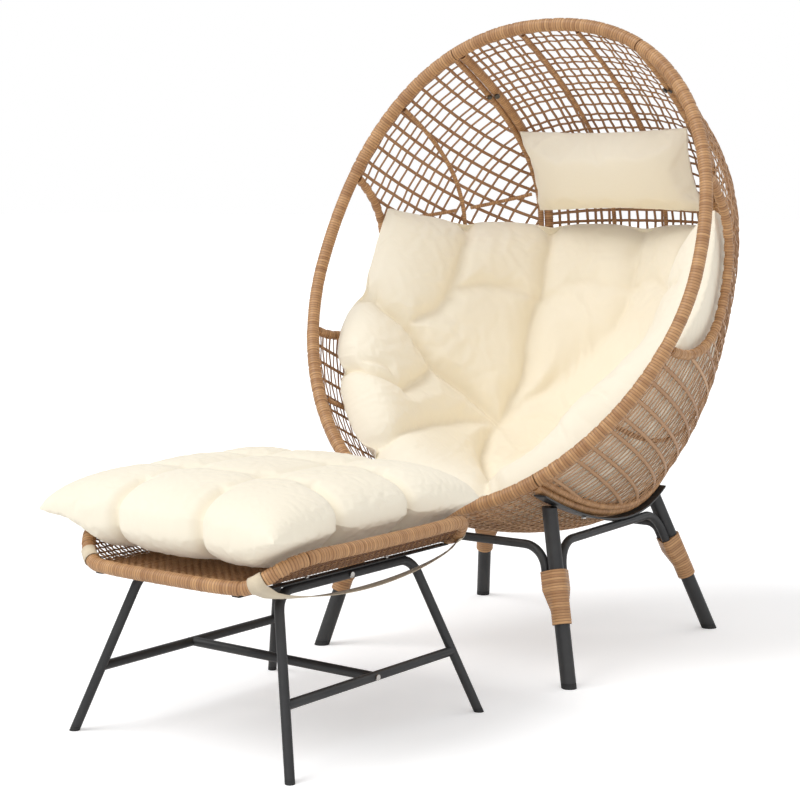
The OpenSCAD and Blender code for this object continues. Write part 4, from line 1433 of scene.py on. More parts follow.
    def wind_tubes(self) -> None:
        """Wind the tubes and ribs of the shell."""
        s = np.linspace(1.0, -1.0, 500)
        rib_inside = self.weave_half + self.rib_r + 0.3
        for side, word in ((1, "right"), (-1, "left")):
            mirror = np.array([side, 1.0, 1.0])
            seam = self.form.point(np.full_like(s, self.seam_x), s)
            outer = self.form.point(np.full_like(s, self.seam_x + 1), s)
            inner = self.form.point(np.full_like(s, self.seam_x - 1), s)
            beside = unit(outer - inner)
            middle_rib = self.form.inside(np.full_like(s, self.rib_xs[0]), s, rib_inside)
            side_rib = self.form.inside(np.full_like(s, self.rib_xs[1]), s, rib_inside)
            window = self.form.point(np.full_like(s, self.window_x), 0.997 * s)
            paths = {
                f"center_tube_{word}": (seam, self.seam_r, 14),
                f"side_tube_{word}": (seam + (self.seam_r + self.gap + self.side_r) * beside, self.side_r, 12),
                f"center_rib_{word}": (middle_rib, self.rib_r, 10),
                f"side_rib_{word}": (side_rib, self.rib_r, 10),
                f"window_tube_{word}": (window, self.window_r, 12),
            }
            for count, (name, (path, radius, sides)) in enumerate(paths.items()):
                winding = Winding(radius - 0.6, seed=40 + count + 5 * side, sides=sides, pitch=6.2)
                raised = self.window_wraps if name.startswith("window") else None
                stock = winding.build(path * mirror, raised)
                mesh = stock.mesh(name)
                place_piece(f"{name}_winding", mesh, self.finishes.winding, Body.CHAIR, [name])

    @staticmethod
    def window_wraps(places: np.ndarray) -> np.ndarray:
        """How far the ends of the weave stand out over a window's tube.

        Args:
            places: distances along the tube.

        Returns:
            Distances, in millimetres.
        """
        return np.where((places % 31.0) < 19.0, 1.5, 0.0)

    def wind_bands(self) -> None:
        """Wind the strand bands that cross the panels inside, behind the head."""
        for word, spans in (
            ("center", ((-225.0, -81.5), (-68.5, 68.5), (81.5, 225.0))),
            ("right", ((268.0, 375.0), (395.0, 450.0))),
            ("left", ((-268.0, -375.0), (-395.0, -450.0))),
        ):
            stock = MeshStock()
            for k, (start, end) in enumerate(spans):
                xs = np.linspace(start, end, 30)
                s = np.array([self.place_at_height(x) for x in xs])
                path = self.form.inside(xs, s, self.weave_half + 5.0 + 2.0)
                Winding(4.6, seed=70 + k, sides=10, pitch=5.8, across=(0.0, 0.0, 1.0)).build(path, stock=stock)
            name = f"{word}_band"
            mesh = stock.mesh(name)
            place_piece(f"{name}_winding", mesh, self.finishes.winding, Body.CHAIR, [name])

    def place_at_height(self, x: float) -> float:
        """Place of the band on the shell's curve at a distance from the middle plane.

        Args:
            x: distance from the middle plane, in millimetres.

        Returns:
            The place, -1 to 1.
        """
        s = np.linspace(0.0, 1.0, 400)
        z = self.form.point(np.full_like(s, x), s)[:, 2]
        level = self.band_z
        if abs(x) > self.seam_x:
            level = float(np.interp(abs(x), self.side_span, self.side_band_z))
        return float(np.interp(level, z, s))
@dataclass(frozen=True)
class Crease:
    """A sewn or pressed-in line of a cushion: places on its face, how deep it is drawn in and how wide."""

    line: tuple[tuple[float, float], ...]
    depth: float = 30.0
    width: float = 26.0
    under: bool = False

    def places(self) -> np.ndarray:
        """Close-set places along the line, with a smooth run through its given places.

        Returns:
            The places, N by 2.
        """
        line = np.array(self.line, float)
        if len(line) == 1:
            return line
        knots = np.concatenate([[0.0], np.cumsum(np.linalg.norm(np.diff(line, axis=0), axis=1))])
        fine = np.linspace(0.0, knots[-1], 60)
        out = np.stack([np.interp(fine, knots, line[:, k]) for k in range(2)], axis=1)
        for _ in range(6):
            out[1:-1] = 0.25 * out[:-2] + 0.5 * out[1:-1] + 0.25 * out[2:]
        return out


Surface = Callable[[np.ndarray, np.ndarray, bool], np.ndarray]


@dataclass
class StuffedCover:
    """A filled cloth cover: two grids of cloth that meet at its edge seam, creased and then inflated."""

    surface: Surface
    us: np.ndarray
    vs: np.ndarray
    creases: tuple[Crease, ...] = ()
    pressure: float = 3.0
    cap: float = 12.0
    slack: float = 0.02

    def index(self) -> tuple[np.ndarray, np.ndarray]:
        """Point numbers of the two grids, which share their edge.

        Returns:
            Numbers of the face's grid and of the underside's grid.
        """
        cols, rows = len(self.us), len(self.vs)
        face = np.arange(cols * rows).reshape(cols, rows)
        under = face.copy()
        under[1:-1, 1:-1] = cols * rows + np.arange((cols - 2) * (rows - 2)).reshape(cols - 2, rows - 2)
        return face, under

    def points(self) -> np.ndarray:
        """Points of both grids before they are creased.

        Returns:
            The points, N by 3.
        """
        u, v = np.meshgrid(self.us, self.vs, indexing="ij")
        face = self.surface(u, v, True)
        under = self.surface(u, v, False)
        edge = 0.5 * (face + under)
        for k in (0, -1):
            face[k, :] = edge[k, :]
            face[:, k] = edge[:, k]
        return np.vstack([face.reshape(-1, 3), under[1:-1, 1:-1].reshape(-1, 3)])

    def quads(self) -> np.ndarray:
        """Faces of both grids.

        Returns:
            The faces, as four point numbers each.
        """
        face, under = self.index()
        out = []
        for grid, turned in ((face, False), (under, True)):
            a, b, c, d = grid[:-1, :-1], grid[1:, :-1], grid[1:, 1:], grid[:-1, 1:]
            order = (a, d, c, b) if turned else (a, b, c, d)
            out.append(np.stack([q.ravel() for q in order], axis=1))
        return np.vstack(out)

    def drawn(self, points: np.ndarray, normals: np.ndarray) -> tuple[np.ndarray, np.ndarray]:
        """Draw the creases in.

        Args:
            points: the cover's points.
            normals: directions out of the cover.

        Returns:
            The creased points, and how close each one is to a crease, from 0 to 1.
        """
        depth = np.zeros(len(points))
        close = np.zeros(len(points))
        for crease in self.creases:
            at = crease.places()
            sides = [True, False] if crease.under else [True]
            for side in sides:
                line = self.surface(at[:, 0], at[:, 1], side)
                gap = np.full(len(points), 1e9)
                for start in range(0, len(points), 8000):
                    part = points[start : start + 8000]
                    gap[start : start + 8000] = np.sqrt(
                        ((part[:, None] - line[None]) ** 2).sum(axis=2).min(axis=1)
                    )
                # close also carries the painted shade along the crease (as the seam value), stronger for deeper
                # creases.
                share = min(1.0, crease.depth / 24.0)
                depth = np.maximum(depth, crease.depth * np.exp(-gap / crease.width))
                close = np.maximum(close, share * np.exp(-((gap / 7.0) ** 2)))
        return points - depth[:, None] * normals, close

    def build(self, name: str, material: bpy.types.Material, body: Body, node: str) -> bpy.types.Object:
        """Make the cover and put it in place.

        Args:
            name: the piece's name.
            material: its cloth.
            body: the body that it rides on.
            node: the solid that it stands for.

        Returns:
            The finished piece.
        """
        quads = self.quads()
        points = self.points()
        normals = self.normals(points, quads)
        points, close = self.drawn(points, normals)
        stock = MeshStock()
        # The seam value is the painted shade along the creases.
        stock.add(points, quads, seam=close)
        mesh = stock.mesh(name)
        piece = place_piece(name, mesh, material, body, [node])
        self.inflate(piece, close)
        self.refine(piece)
        return piece

    @staticmethod
    def normals(points: np.ndarray, quads: np.ndarray) -> np.ndarray:
        """Directions out of the cover at its points.

        Args:
            points: the points.
            quads: the faces, as four point numbers each.

        Returns:
            Directions of length 1.
        """
        p = points[quads]
        face = np.cross(p[:, 2] - p[:, 0], p[:, 3] - p[:, 1])
        out = np.zeros_like(points)
        for k in range(4):
            np.add.at(out, quads[:, k], face)
        out = unit(out)
        middle = points.mean(axis=0)
        return out if np.sum(out * (points - middle)) > 0 else -out

    def inflate(self, piece: bpy.types.Object, close: np.ndarray) -> None:
        """Fill the cover by a short cloth simulation, held at its creases, and keep the result.

        Args:
            piece: the cover.
            close: how close each point is to a crease.
        """
        mesh = piece.data
        start = np.empty(len(mesh.vertices) * 3, np.float32)
        mesh.vertices.foreach_get("co", start)
        start = start.reshape(-1, 3)
        group = piece.vertex_groups.new(name="held")
        face, _ = self.index()
        edge = np.unique(np.concatenate([face[0], face[-1], face[:, 0], face[:, -1]]))
        weight = np.clip(close * 2.2, 0.0, 1.0)
        weight[edge] = np.maximum(weight[edge], 0.9)
        for level in (0.25, 0.5, 0.75, 1.0):
            chosen = np.flatnonzero((weight > level - 0.25) & (weight <= level))
            group.add([int(i) for i in chosen], level, "REPLACE")
        cloth = piece.modifiers.new("fill", "CLOTH")
        settings = cloth.settings
        settings.quality = 6
        settings.mass = 0.3
        settings.tension_stiffness = settings.compression_stiffness = 18.0
        settings.shear_stiffness = 6.0
        settings.bending_stiffness = 0.6
        settings.use_pressure = True
        settings.uniform_pressure_force = self.pressure
        settings.vertex_group_mass = "held"
        settings.pin_stiffness = 1.0
        settings.shrink_min = -self.slack
        settings.effector_weights.gravity = 0.0
        cloth.collision_settings.use_collision = False
        cloth.point_cache.frame_start = 1
        cloth.point_cache.frame_end = 20
        scene = bpy.context.scene
        for number in range(1, 21):
            scene.frame_set(number)
        shown = piece.evaluated_get(bpy.context.evaluated_depsgraph_get()).to_mesh()
        moved = np.empty(len(shown.vertices) * 3, np.float32)
        shown.vertices.foreach_get("co", moved)
        piece.modifiers.remove(cloth)
        scene.frame_set(1)
        step = moved.reshape(-1, 3) - start
        size = np.linalg.norm(step, axis=1, keepdims=True)
        limit = self.cap / 1000.0
        eased = limit * np.tanh(size / limit)
        step = np.where(size > 1e-9, step * eased / np.maximum(size, 1e-9), 0.0)
        mesh.vertices.foreach_set("co", (start + step).astype(np.float32).ravel())
        mesh.update()
        most = 1000 * float(np.linalg.norm(step, axis=1).max())
        LOG.info("%s: filled, moved %.1f mm at most", piece.name, most)

    @staticmethod
    def refine(piece: bpy.types.Object) -> None:
        """Round the cover off with one subdivision.

        Args:
            piece: the cover.
        """
        smooth = piece.modifiers.new("smooth", "SUBSURF")
        smooth.levels = smooth.render_levels = 1
        bpy.context.view_layer.update()
        graph = bpy.context.evaluated_depsgraph_get()
        shown = bpy.data.meshes.new_from_object(
            piece.evaluated_get(graph), preserve_all_data_layers=True, depsgraph=graph
        )
        piece.modifiers.clear()
        piece.data = shown
        LOG.info("%s: %d points", piece.name, len(shown.vertices))


def spaced(count: int, gather: float = 0.35) -> np.ndarray:
    """Places from -1 to 1, closer together towards the ends.

    Args:
        count: how many.
        gather: 0 for even spacing, 1 for sine spacing.

    Returns:
        The places.
    """
    t = np.linspace(-1.0, 1.0, count)
    return (1 - gather) * t + gather * np.sin(t * math.pi / 2)


@dataclass
class SeatCushion:
    """The tufted cushion that lines the lower half of the egg."""

    finishes: Finishes
    form: EggForm = field(default_factory=EggForm)
    reach: float = 0.93
    wing_reach: float = 0.85
    top_z: float = 968.0
    wing_z: float = 1012.0
    thickness: float = 125.0
    roll: float = 34.0
    edge: float = 16.0
    gap: float = 17.1
    corner_turn: float = -35.0
    wing_turn: float = 13.0
    columns: int = 131
    rows: int = 141

    def on_circle(self, turn: np.ndarray) -> np.ndarray:
        """Place on the cushion's outline by its direction round the egg, in degrees.

        Args:
            turn: direction, in degrees.

        Returns:
            The places.
        """
        turn = np.asarray(turn, float)
        far = self.reach - (self.reach - self.wing_reach) * ease((turn + 25.0) / 30.0)
        return far[..., None] * np.stack([np.cos(np.radians(turn)), np.sin(np.radians(turn))], axis=-1)

    def rise_at_height(self, a: np.ndarray, z: np.ndarray) -> np.ndarray:
        """How far up the shell a height lies.

        Args:
            a: place across the disc, to the right.
            z: height, in millimetres.

        Returns:
            The places up the disc.
        """
        low, high = np.zeros_like(a), np.full_like(a, 0.9)
        for _ in range(30):
            mid = 0.5 * (low + high)
            below = self.form.disc(a, mid)[..., 2] < z
            low, high = np.where(below, mid, low), np.where(below, high, mid)
        return 0.5 * (low + high)

    def top_edge(self, u: np.ndarray) -> np.ndarray:
        """Place on the cushion's top edge.

        Args:
            u: place across, -1 to 1.

        Returns:
            The places.
        """
        wing = self.on_circle(np.array(self.wing_turn))
        a = wing[0] * u
        b = self.rise_at_height(a, self.top_z + (self.wing_z - self.top_z) * np.abs(u) ** 4)
        return np.stack([a, np.where(np.abs(u) > 0.9999, wing[1], b)], axis=-1)

    def place(self, u: np.ndarray, v: np.ndarray) -> np.ndarray:
        """Place on the shell of a point of the cushion's grid.

        Args:
            u: place across, -1 to 1.
            v: place from the front edge to the top edge, 0 to 1.

        Returns:
            The places.
        """
        u, v = np.broadcast_arrays(np.asarray(u, float), np.asarray(v, float))
        w = ((u + 1) / 2)[..., None]
        vv = v[..., None]
        turn = self.corner_turn + (self.wing_turn - self.corner_turn) * v
        right = self.on_circle(turn)
        left = right * np.array([-1.0, 1.0])
        front = self.on_circle(-90.0 + (90.0 + self.corner_turn) * u)
        top = self.top_edge(u)
        low_right = self.on_circle(np.array(self.corner_turn))
        high_right = self.on_circle(np.array(self.wing_turn))
        flip = np.array([-1.0, 1.0])
        return (
            (1 - vv) * front + vv * top + (1 - w) * left + w * right
            - (1 - vv) * ((1 - w) * low_right * flip + w * low_right)
            - vv * ((1 - w) * high_right * flip + w * high_right)
        )

    def pad(self, u: np.ndarray, v: np.ndarray) -> np.ndarray:
        """Share of the full thickness at a place.

        Args:
            u: place across, -1 to 1.
            v: place from the front edge to the top edge, 0 to 1.

        Returns:
            The shares, 0 to 1.
        """
        across = np.sqrt(np.maximum(1 - np.abs(u) ** 7, 0))
        run = np.sqrt(np.maximum(1 - np.abs(2 * v - 1) ** 8, 0))
        return across * run

    def surface(self, u: np.ndarray, v: np.ndarray, face: bool) -> np.ndarray:
        """Point of the cushion's face or of its underside.

        Args:
            u: place across, -1 to 1.
            v: place from the front edge to the top edge, 0 to 1.
            face: whether it is on the face.

        Returns:
            The points.
        """
        q = self.place(u, v)
        base = self.form.disc(q[..., 0], q[..., 1])
        normal = self.form.disc_normal(q[..., 0], q[..., 1])
        share = self.pad(np.asarray(u), np.asarray(v))
        half = self.edge / 2
        roll = self.roll * bump(u, 0.84, 0.3) * ease((0.98 - np.asarray(v)) / 0.25)
        up = half + (self.thickness + roll - half) * share if face else half * (1 - share)
        return base + (self.gap + up)[..., None] * normal

    def build(self) -> None:
        """Sew, fill and place the cushion."""
        us = spaced(self.columns)
        vs = 0.5 + 0.5 * spaced(self.rows)
        cover = StuffedCover(self.surface, us, vs, SEAT_CREASES, cap=10.0)
        cover.build("seat_cover", self.finishes.cloth, Body.SEAT, "seat_cushion")
SEAT_CREASES = (
    Crease(((-0.74, 0.757), (-0.733, 0.82), (-0.727, 0.913), (-0.69, 1.0)), 36.4),
    Crease(((-0.74, 0.757), (-0.753, 0.737), (-0.8, 0.68), (-0.833, 0.597)), 36.4),
    Crease(((-0.74, 0.757), (-0.727, 0.78), (-0.62, 0.81), (-0.507, 0.82), (-0.38, 0.813)), 28.0, 22.0),
    Crease(((-0.36, 0.817), (-0.373, 0.89), (-0.34, 1.0)), 42.0),
    Crease(((-0.367, 0.813), (-0.387, 0.783), (-0.367, 0.763), (-0.353, 0.73), (-0.373, 0.68), (-0.367, 0.6)), 50.4),
    Crease(((-0.36, 0.817), (-0.273, 0.843), (-0.06, 0.867), (0.047, 0.86)), 14.0),
    Crease(((0.047, 0.863), (0.02, 0.937), (0.01, 1.0)), 36.4),
    Crease(
        ((0.047, 0.863), (0.04, 0.83), (0.0, 0.807), (-0.027, 0.793), (-0.2, 0.763), (-0.327, 0.693), (-0.367, 0.6)),
        36.0, 22.0,
    ),
    Crease(((0.047, 0.863), (0.22, 0.863), (0.6, 0.8), (0.927, 0.743)), 16.8),
    Crease(((0.42, 0.85), (0.4, 0.93), (0.38, 1.0)), 30.8),
    Crease(((0.76, 0.76), (0.73, 0.88), (0.69, 1.0)), 30.8),
    Crease(
        ((-0.993, 0.623), (-0.933, 0.597), (-0.833, 0.597), (-0.68, 0.553), (-0.54, 0.59), (-0.367, 0.6)), 56.0, 24.0
    ),
    Crease(((-0.68, 0.553), (-0.7, 0.43), (-0.727, 0.313)), 42.0, 22.0),
    Crease(((-0.727, 0.313), (-0.8, 0.26), (-0.933, 0.16), (-1.0, 0.13)), 28.0, 20.0),
    Crease(((-0.78, 0.293), (-0.833, 0.3), (-0.953, 0.203)), 16.8, 14.0),
    Crease(((-0.367, 0.6), (-0.48, 0.493), (-0.547, 0.327), (-0.587, 0.093), (-0.62, 0.0)), 36.4),
    Crease(((-0.367, 0.6), (-0.373, 0.517), (-0.307, 0.397), (0.0, 0.17), (0.133, 0.07), (0.24, 0.0)), 42.0, 22.0),
    Crease(((-0.1, 0.28), (0.1, 0.12), (0.32, 0.0)), 22.4, 14.0),
    Crease(((-0.74, 0.757),), 40.5, 26.0),
    Crease(((-0.36, 0.817),), 56.7, 28.0),
    Crease(((0.047, 0.863),), 45.9, 28.0),
    Crease(((-0.367, 0.6),), 59.4, 30.0),
    Crease(((0.42, 0.85),), 40.5, 26.0),
)


@dataclass
class HeadPillow:
    """The plain pillow behind the head."""

    finishes: Finishes
    length: float = 470.0
    height: float = 225.0
    thickness: float = 105.0
    middle: tuple[float, float, float] = (0.0, 406.8, 1097.0)
    lean: float = 27.0

    def surface(self, u: np.ndarray, v: np.ndarray, face: bool) -> np.ndarray:
        """Point of the pillow's face or back.

        Args:
            u: place along it, -1 to 1.
            v: place up it, -1 to 1.
            face: whether it is on the face.

        Returns:
            The points.
        """
        u, v = np.asarray(u, float), np.asarray(v, float)
        turn = math.radians(self.lean)
        up = np.array([0.0, -math.sin(turn), math.cos(turn)])
        out = np.array([0.0, -math.cos(turn), -math.sin(turn)])
        puff = np.sqrt(np.maximum((1 - np.abs(u) ** 3) * (1 - np.abs(v) ** 3), 0))
        x = self.length / 2 * u * (1 - 0.05 * (1 - v * v))
        h = self.height / 2 * v * (1 - 0.08 * (1 - u * u))
        side = 1.0 if face else -1.0
        rise = side * (self.thickness / 2) * puff
        base = np.array(self.middle) + h[..., None] * up + rise[..., None] * out
        base[..., 0] += x
        return base

    def build(self) -> None:
        """Sew, fill and place the pillow."""
        cover = StuffedCover(self.surface, spaced(81, 0.6), spaced(49, 0.6), (), 2.5, 8.0, 0.03)
        cover.build("pillow_cover", self.finishes.cloth, Body.PILLOW, "head_pillow")


@dataclass(frozen=True)
class StoolForm:
    """Shape of the footstool's wound frame, in millimetres about the footstool's middle."""

    half_w: float = 288.0
    half_l: float = 328.0
    fullness: float = 4.1
    rail_r: float = 13.5
    rise: float = 56.0
    low_share: float = 0.63
    rail_z: float = 344.1
    forward: float = 885.0
    x: float = -10.0
    turn: float = -1.7

    def height(self, x: np.ndarray) -> np.ndarray:
        """Height of the rail at a distance from the middle plane.

        Args:
            x: distances from the footstool's middle plane.

        Returns:
            The heights, in millimetres.
        """
        return self.rail_z + self.rise * ease((np.abs(x) / self.half_w - self.low_share) / (1 - self.low_share))

    def rail(self, t: np.ndarray) -> np.ndarray:
        """Point of the rail's middle line at an angle in degrees.

        Args:
            t: angle, in degrees.

        Returns:
            The points.
        """
        tr = np.radians(np.asarray(t, float))
        x = self.half_w * spow(np.cos(tr), 2 / self.fullness)
        y = self.half_l * spow(np.sin(tr), 2 / self.fullness)
        return np.stack([x, y, self.height(x)], axis=-1)

    def placed(self, points: np.ndarray) -> np.ndarray:
        """Take points from the footstool's own middle to the chair's.

        Args:
            points: the points.

        Returns:
            The same points about the chair.
        """
        a = math.radians(self.turn)
        turn = np.array([[math.cos(a), -math.sin(a), 0.0], [math.sin(a), math.cos(a), 0.0], [0.0, 0.0, 1.0]])
        return points @ turn.T + np.array([self.x, -self.forward, 0.0])


@dataclass
class StoolCushion:
    """The tufted cushion of the footstool."""

    finishes: Finishes
    form: StoolForm = field(default_factory=StoolForm)
    half_w: float = 310.0
    half_l: float = 322.0
    x: float = -32.0
    y: float = -10.0
    edge_z: float = 436.0
    top_z: float = 518.0
    tuft: tuple[float, float] = (0.335, 0.323)

    def surface(self, u: np.ndarray, v: np.ndarray, face: bool) -> np.ndarray:
        """Point of the cushion's top or of its underside.

        Args:
            u: place across, -1 to 1.
            v: place from front to back, -1 to 1.
            face: whether it is on the top.

        Returns:
            The points.
        """
        u, v = np.asarray(u, float), np.asarray(v, float)
        lift = np.maximum((1 - np.abs(u) ** 5) * (1 - np.abs(v) ** 5), 0) ** 0.42
        corner = np.abs(u * v) ** 6
        x = self.half_w * u * (1 - 0.05 * (1 - v * v)) * (1 - 0.03 * corner)
        y = self.half_l * v * (1 - 0.04 * (1 - u * u)) * (1 - 0.03 * corner)
        seat = self.form.height(np.minimum(np.abs(x + self.x), self.form.half_w)) + self.form.rail_r + 0.8
        crown = 1 - 0.12 * (u * u + v * v) / 2
        top = self.edge_z + (self.top_z + 4 - self.edge_z) * lift * crown
        low = self.edge_z - (self.edge_z - seat) * lift
        z = top if face else low
        return self.form.placed(np.stack([x + self.x, y + self.y, z], axis=-1))

    def creases(self) -> tuple[Crease, ...]:
        """Channels from the four tufts to the sides, and the shallow ones between them.

        Returns:
            The creases.
        """
        a, b = self.tuft
        out = []
        for su in (-1, 1):
            for sv in (-1, 1):
                out.append(Crease(((a * su, b * sv),), 42.0, 24.0))
                out.append(Crease(((a * su, b * sv), (a * su, 0.66 * sv)), 13.0, 20.0))
                out.append(Crease(((a * su, b * sv), (0.66 * su, b * sv)), 13.0, 20.0))
                out.append(Crease(((a * su, 0.72 * sv), (a * su * 1.03, sv)), 26.0, 17.0, True))
                out.append(Crease(((0.72 * su, b * sv), (su, b * sv * 1.04)), 26.0, 17.0, True))
            out.append(Crease(((a * su, -b), (a * su, b)), 12.0, 24.0))
            out.append(Crease(((-a, b * su), (a, b * su)), 12.0, 24.0))
        return tuple(out)

    def build(self) -> None:
        """Sew, fill and place the cushion."""
        cover = StuffedCover(self.surface, spaced(111, 0.7), spaced(115, 0.7), self.creases(), 3.0, 12.0, 0.03)
        cover.build("stool_cover", self.finishes.cloth, Body.STOOL_PAD, "stool_cushion")


@dataclass
class StoolWeave:
    """The footstool's wound rails, its woven seat and the cushion's straps."""

    finishes: Finishes
    form: StoolForm = field(default_factory=StoolForm)
    net_pitch: float = 9.4
    net_sag: float = 2.0
    strap_xs: tuple[float, float] = (-212.0, 212.0)
    strap_w: float = 22.0
    strap_t: float = 1.6
    strap_low: float = 300.0
    strap_gap: float = 0.9

    def build(self) -> None:
        """Wind, weave and strap."""
        self.wind_rails()
        self.weave_net()
        self.strap()

    def wind_rails(self) -> None:
        """Wind the four lengths of the frame, more loosely at its corners."""
        spans = {"front": (-90, 60), "back": (90, 60), "right": (0, 30), "left": (180, 30)}
        for count, (word, (middle, half)) in enumerate(spans.items()):
            path = self.form.rail(np.linspace(middle - half + 0.1, middle + half - 0.1, 260))
            run = along(path)

            def grouped(places: np.ndarray, path: np.ndarray = path, run: np.ndarray = run) -> np.ndarray:
                """How far the turns stand out: in groups near the corners.

                Args:
                    places: distances along the tube.
                    path: points of the path, N by 3.
                    run: distances along the path.

                Returns:
                    Distances, in millimetres.
                """
                x = np.abs(np.interp(places, run, path[:, 0]))
                y = np.abs(np.interp(places, run, path[:, 1]))
                corner = (x > 0.62 * self.form.half_w) & (y > 0.55 * self.form.half_l)
                part = (places % 24.0) / 24.0
                return np.where(corner, np.where(part < 0.8, 0.55, -0.8), 0.0)

            winding = Winding(self.form.rail_r - 0.6, pitch=5.6, seed=90 + count, across=(0.0, 0.0, 1.0), sides=18)
            name = f"stool_{word}_rail"
            stock = winding.build(self.form.placed(path), grouped)
            mesh = stock.mesh(name)
            place_piece(f"{name}_winding", mesh, self.finishes.winding, Body.STOOL, [name])

    def net_point(self, x: np.ndarray, y: np.ndarray) -> np.ndarray:
        """Point of the woven seat.

        Args:
            x: distances across from the footstool's middle.
            y: distances from its middle to the back.

        Returns:
            The points.
        """
        share = np.clip(np.maximum(np.abs(x) / self.form.half_w, np.abs(y) / self.form.half_l), 0, 1)
        z = self.form.height(x) - self.net_sag * (1 - share**2) - 2.0
        return np.stack([x, y, z], axis=-1)

    def weave_net(self) -> None:
        """Weave the seat of round strand."""
        rng = np.random.default_rng(5)
        stock = MeshStock()
        maker = StrandMaker(stock, rng, thickness=3.0)
        form, pitch = self.form, self.net_pitch
        for family in (0, 1):
            half, far = (form.half_w, form.half_l) if family == 0 else (form.half_l, form.half_w)
            count = int((half - 10) // pitch)
            for k in range(-count, count + 1):
                place = k * pitch + rng.normal(0, 0.5)
                reach = far * (1 - (abs(place) / half) ** form.fullness) ** (1 / form.fullness) - 4.0
                if reach < 20:
                    continue
                run = np.arange(-reach, reach, pitch / 2)
                fixed = np.full_like(run, place)
                path = self.net_point(fixed, run) if family == 0 else self.net_point(run, fixed)
                sign = 1 if family == 0 else -1
                offset = sign * 1.5 * np.cos(math.pi * (run / pitch + k))
                out = np.broadcast_to(np.array([0.0, 0.0, 1.0]), path.shape)
                placed = form.placed(path)
                maker.lay(placed, out, 4.6, offset)
        place_piece(
            "stool_net_weave",
            stock.mesh("stool_net_weave"),
            self.finishes.stool_weave,
            Body.STOOL,
            ["stool_net"],
        )

    def strap_run(self, x: float, r: float) -> np.ndarray:
        """Points of a strap's run at a distance from the footstool's middle plane.

        Args:
            x: distance from the middle plane.
            r: distance from the rail's middle line.

        Returns:
            The points from the front rail, underneath, to the back rail.
        """
        form = self.form
        t = -math.degrees(math.acos((abs(x) / form.half_w) ** (form.fullness / 2)))
        t = t if x > 0 else -180 - t
        ahead, here, behind = form.rail(np.array([t + 1, t, t - 1]))
        run = unit(ahead - behind)
        out = unit(np.cross(run, np.array([0.0, 0.0, 1.0])))
        up = np.cross(out, run)
        turns = np.radians(np.arange(120, -91, -10))
        front = here + r * (np.cos(turns)[:, None] * out + np.sin(turns)[:, None] * up)
        low = front[-1]
        w = np.linspace(0, 1, 26)[1:-1]
        drop = low[2] - self.strap_low + r - form.rail_r
        sag = np.stack(
            [np.full_like(w, low[0]), low[1] * (1 - 2 * w), low[2] - drop * np.sin(math.pi * w) ** 0.6], axis=1
        )
        back = front[::-1] * np.array([1.0, -1.0, 1.0])
        return np.vstack([front, sag, back])

    def strap(self) -> None:
        """Lay the two straps round the front and back rails."""
        for x, word in zip(self.strap_xs, ("left", "right")):
            low = self.form.rail_r + self.strap_gap
            across = np.array([-0.5, -0.45, 0.0, 0.45, 0.5, 0.45, 0.0, -0.45]) * self.strap_w
            deep = np.array([0.5, 1.0, 0.9, 1.0, 0.5, 0.0, 0.0, 0.0]) * self.strap_t
            rings = np.stack([self.strap_run(x + a, low + d) for a, d in zip(across, deep)], axis=1)
            stock = MeshStock()
            # Darker towards the strap's side edges, through the cloth's seam value.
            edge = np.array([1.0, 0.7, 0.0, 0.7, 1.0, 0.7, 0.0, 0.7])
            stock.add_tube(self.form.placed(rings), seam=np.broadcast_to(edge, rings.shape[:2]))
            name = f"stool_strap_{word}"
            mesh = stock.mesh(name)
            place_piece(f"{name}_webbing", mesh, self.finishes.webbing, Body.STOOL, [name])


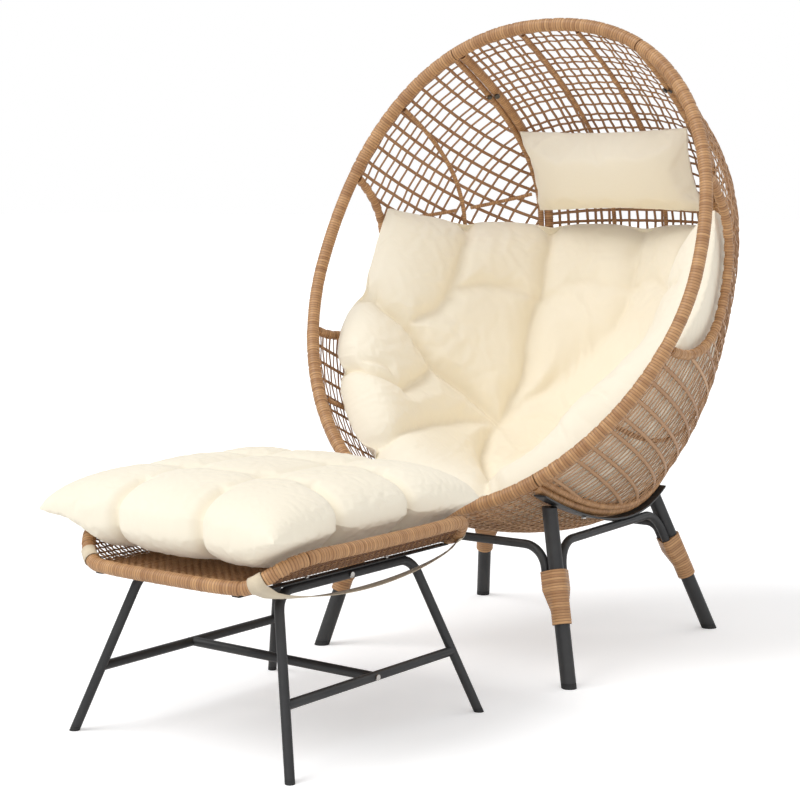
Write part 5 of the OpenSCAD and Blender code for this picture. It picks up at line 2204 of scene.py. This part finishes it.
@dataclass
class LegSleeves:
    """Wound sleeves that cover where the braces meet the legs."""

    finishes: Finishes
    front_foot: tuple[float, float, float] = (332.0, -338.0, 0.0)
    front_top: tuple[float, float, float] = (234.0, -262.0, 369.0)
    back_foot: tuple[float, float, float] = (325.0, 338.0, 0.0)
    back_top: tuple[float, float, float] = (234.0, 213.0, 332.0)
    front_span: tuple[float, float] = (126.0, 241.0)
    back_span: tuple[float, float] = (133.0, 235.0)
    mid_z: float = 200.0
    leg_r: float = 16.5
    brace_r: float = 9.5
    cover: float = 5.0
    pitch: float = 6.2

    def build(self) -> None:
        """Wind the four sleeves."""
        for end, foot, top, span, towards in (
            ("front", self.front_foot, self.front_top, self.front_span, 1.0),
            ("back", self.back_foot, self.back_top, self.back_span, -1.0),
        ):
            for word, side in (("left", -1.0), ("right", 1.0)):
                self.wind(f"{end}_sleeve_{word}", np.array(foot), np.array(top), span, towards, side)

    def wind(
        self, name: str, foot: np.ndarray, top: np.ndarray, span: tuple[float, float], towards: float, side: float
    ) -> None:
        """Wind one sleeve.

        Args:
            name: the solid that it stands for.
            foot: middle of the leg at the floor.
            top: middle of the leg at its top.
            span: heights of the sleeve's bottom and top.
            towards: 1 where the side brace runs back, -1 where it runs forward.
            side: 1 for the right leg, -1 for the left one.
        """
        rng = np.random.default_rng(int(span[0]) + int(side) + int(10 * towards) + 30)
        rise = unit(top - foot)
        first = unit(np.array([-1.0, 0, 0]) - rise * -rise[0])
        second = unit(np.array([0, towards, 0]) - rise * rise[1] * towards)
        away = self.leg_r + self.brace_r + 0.3
        turns = round((span[1] - span[0]) / rise[2] / self.pitch)
        inside = np.array([-0.5, -0.3, 0.0, 0.3])
        lift = np.array([-0.5, 0.14, 0.3, 0.14])
        index = np.repeat(np.arange(turns), 4)
        share = (index + 0.5 + np.tile(inside, turns)) / turns
        z = span[0] + 1.5 + (span[1] - span[0] - 3.0) * share
        open_out = np.clip((z - span[0]) / (self.mid_z - span[0]), 0.0, 1.0)
        angle = np.linspace(0, 2 * math.pi, 44, endpoint=False)
        across = first
        along_side = np.cross(rise, across)
        normal = np.cos(angle)[:, None] * across + np.sin(angle)[:, None] * along_side
        rings = np.empty((len(z), len(angle), 3))
        for k, height in enumerate(z):
            middle = foot + (top - foot) * height / top[2]
            extra = np.tile(lift, turns)[k] + rng.normal(0, 0.05)
            circles = [(middle, self.leg_r + self.cover - 0.5 + extra)]
            for way in (first, second):
                circles.append((middle + away * open_out[k] * way, self.brace_r + self.cover / 2 - 0.3 + extra))
            reach = np.stack([(c - middle) @ normal.T + r for c, r in circles])
            best = reach.argmax(axis=0)
            centers = np.stack([c for c, _ in circles])[best]
            radii = np.array([r for _, r in circles])[best]
            rings[k] = centers + radii[:, None] * normal
        rings[..., 0] *= side
        if side < 0:
            rings = rings[:, ::-1]
        stock = MeshStock()
        stock.add_tube(
            rings,
            run=angle[None, :] * 30.0 + index[:, None] * 83.0,
            turn=np.tile(inside * 2, turns),
            tone=rng.normal(0, 1.0, turns)[index],
            outer=np.ones(len(z)),
            # Painted shade in the grooves between turns.
            groove=np.tile(np.array([1.0, 0.16, 0.0, 0.16]), turns),
        )
        mesh = stock.mesh(name)
        place_piece(f"{name}_winding", mesh, self.finishes.winding, Body.CHAIR, [name])




@dataclass
class SteelBase:
    """Legs, braces, plates and fixings, whose solids are shown as they are."""

    finishes: Finishes

    def build(self) -> None:
        """Dress the solids."""
        black = ["front_leg", "back_leg", "plate", "stool_leg_frame", "stool_low_bar", "stool_strip"]
        names = [f"{base}_{side}" for base in black for side in ("left", "right")]
        names += ["front_brace", "back_brace", "left_brace", "right_brace", "stool_stretcher"]
        for name in names:
            self.dress(name, self.finishes.black_tube)
        self.dress("seam_bolts", self.finishes.dark_bolt)
        for name in ("plate_screws", "stool_strip_screws", "stool_bolts"):
            self.dress(name, self.finishes.bright_bolt)
        for name in ("foot_caps", "stool_foot_caps"):
            self.dress(name, self.finishes.foot)

    @staticmethod
    def dress(name: str, material: bpy.types.Material) -> None:
        """Give a solid its finish.

        Args:
            name: the solid's node.
            material: the finish.
        """
        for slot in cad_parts[name].material_slots:
            slot.material = material


def main() -> None:
    """Build the set in order."""
    logging.basicConfig(level=logging.INFO, format="%(name)s: %(message)s")
    Studio().build()
    finishes = Finishes()
    SteelBase(finishes).build()
    WovenShell(finishes).build()
    LegSleeves(finishes).build()
    StoolWeave(finishes).build()
    SeatCushion(finishes).build()
    HeadPillow(finishes).build()
    StoolCushion(finishes).build()


if __name__ == "__main__":
    main()
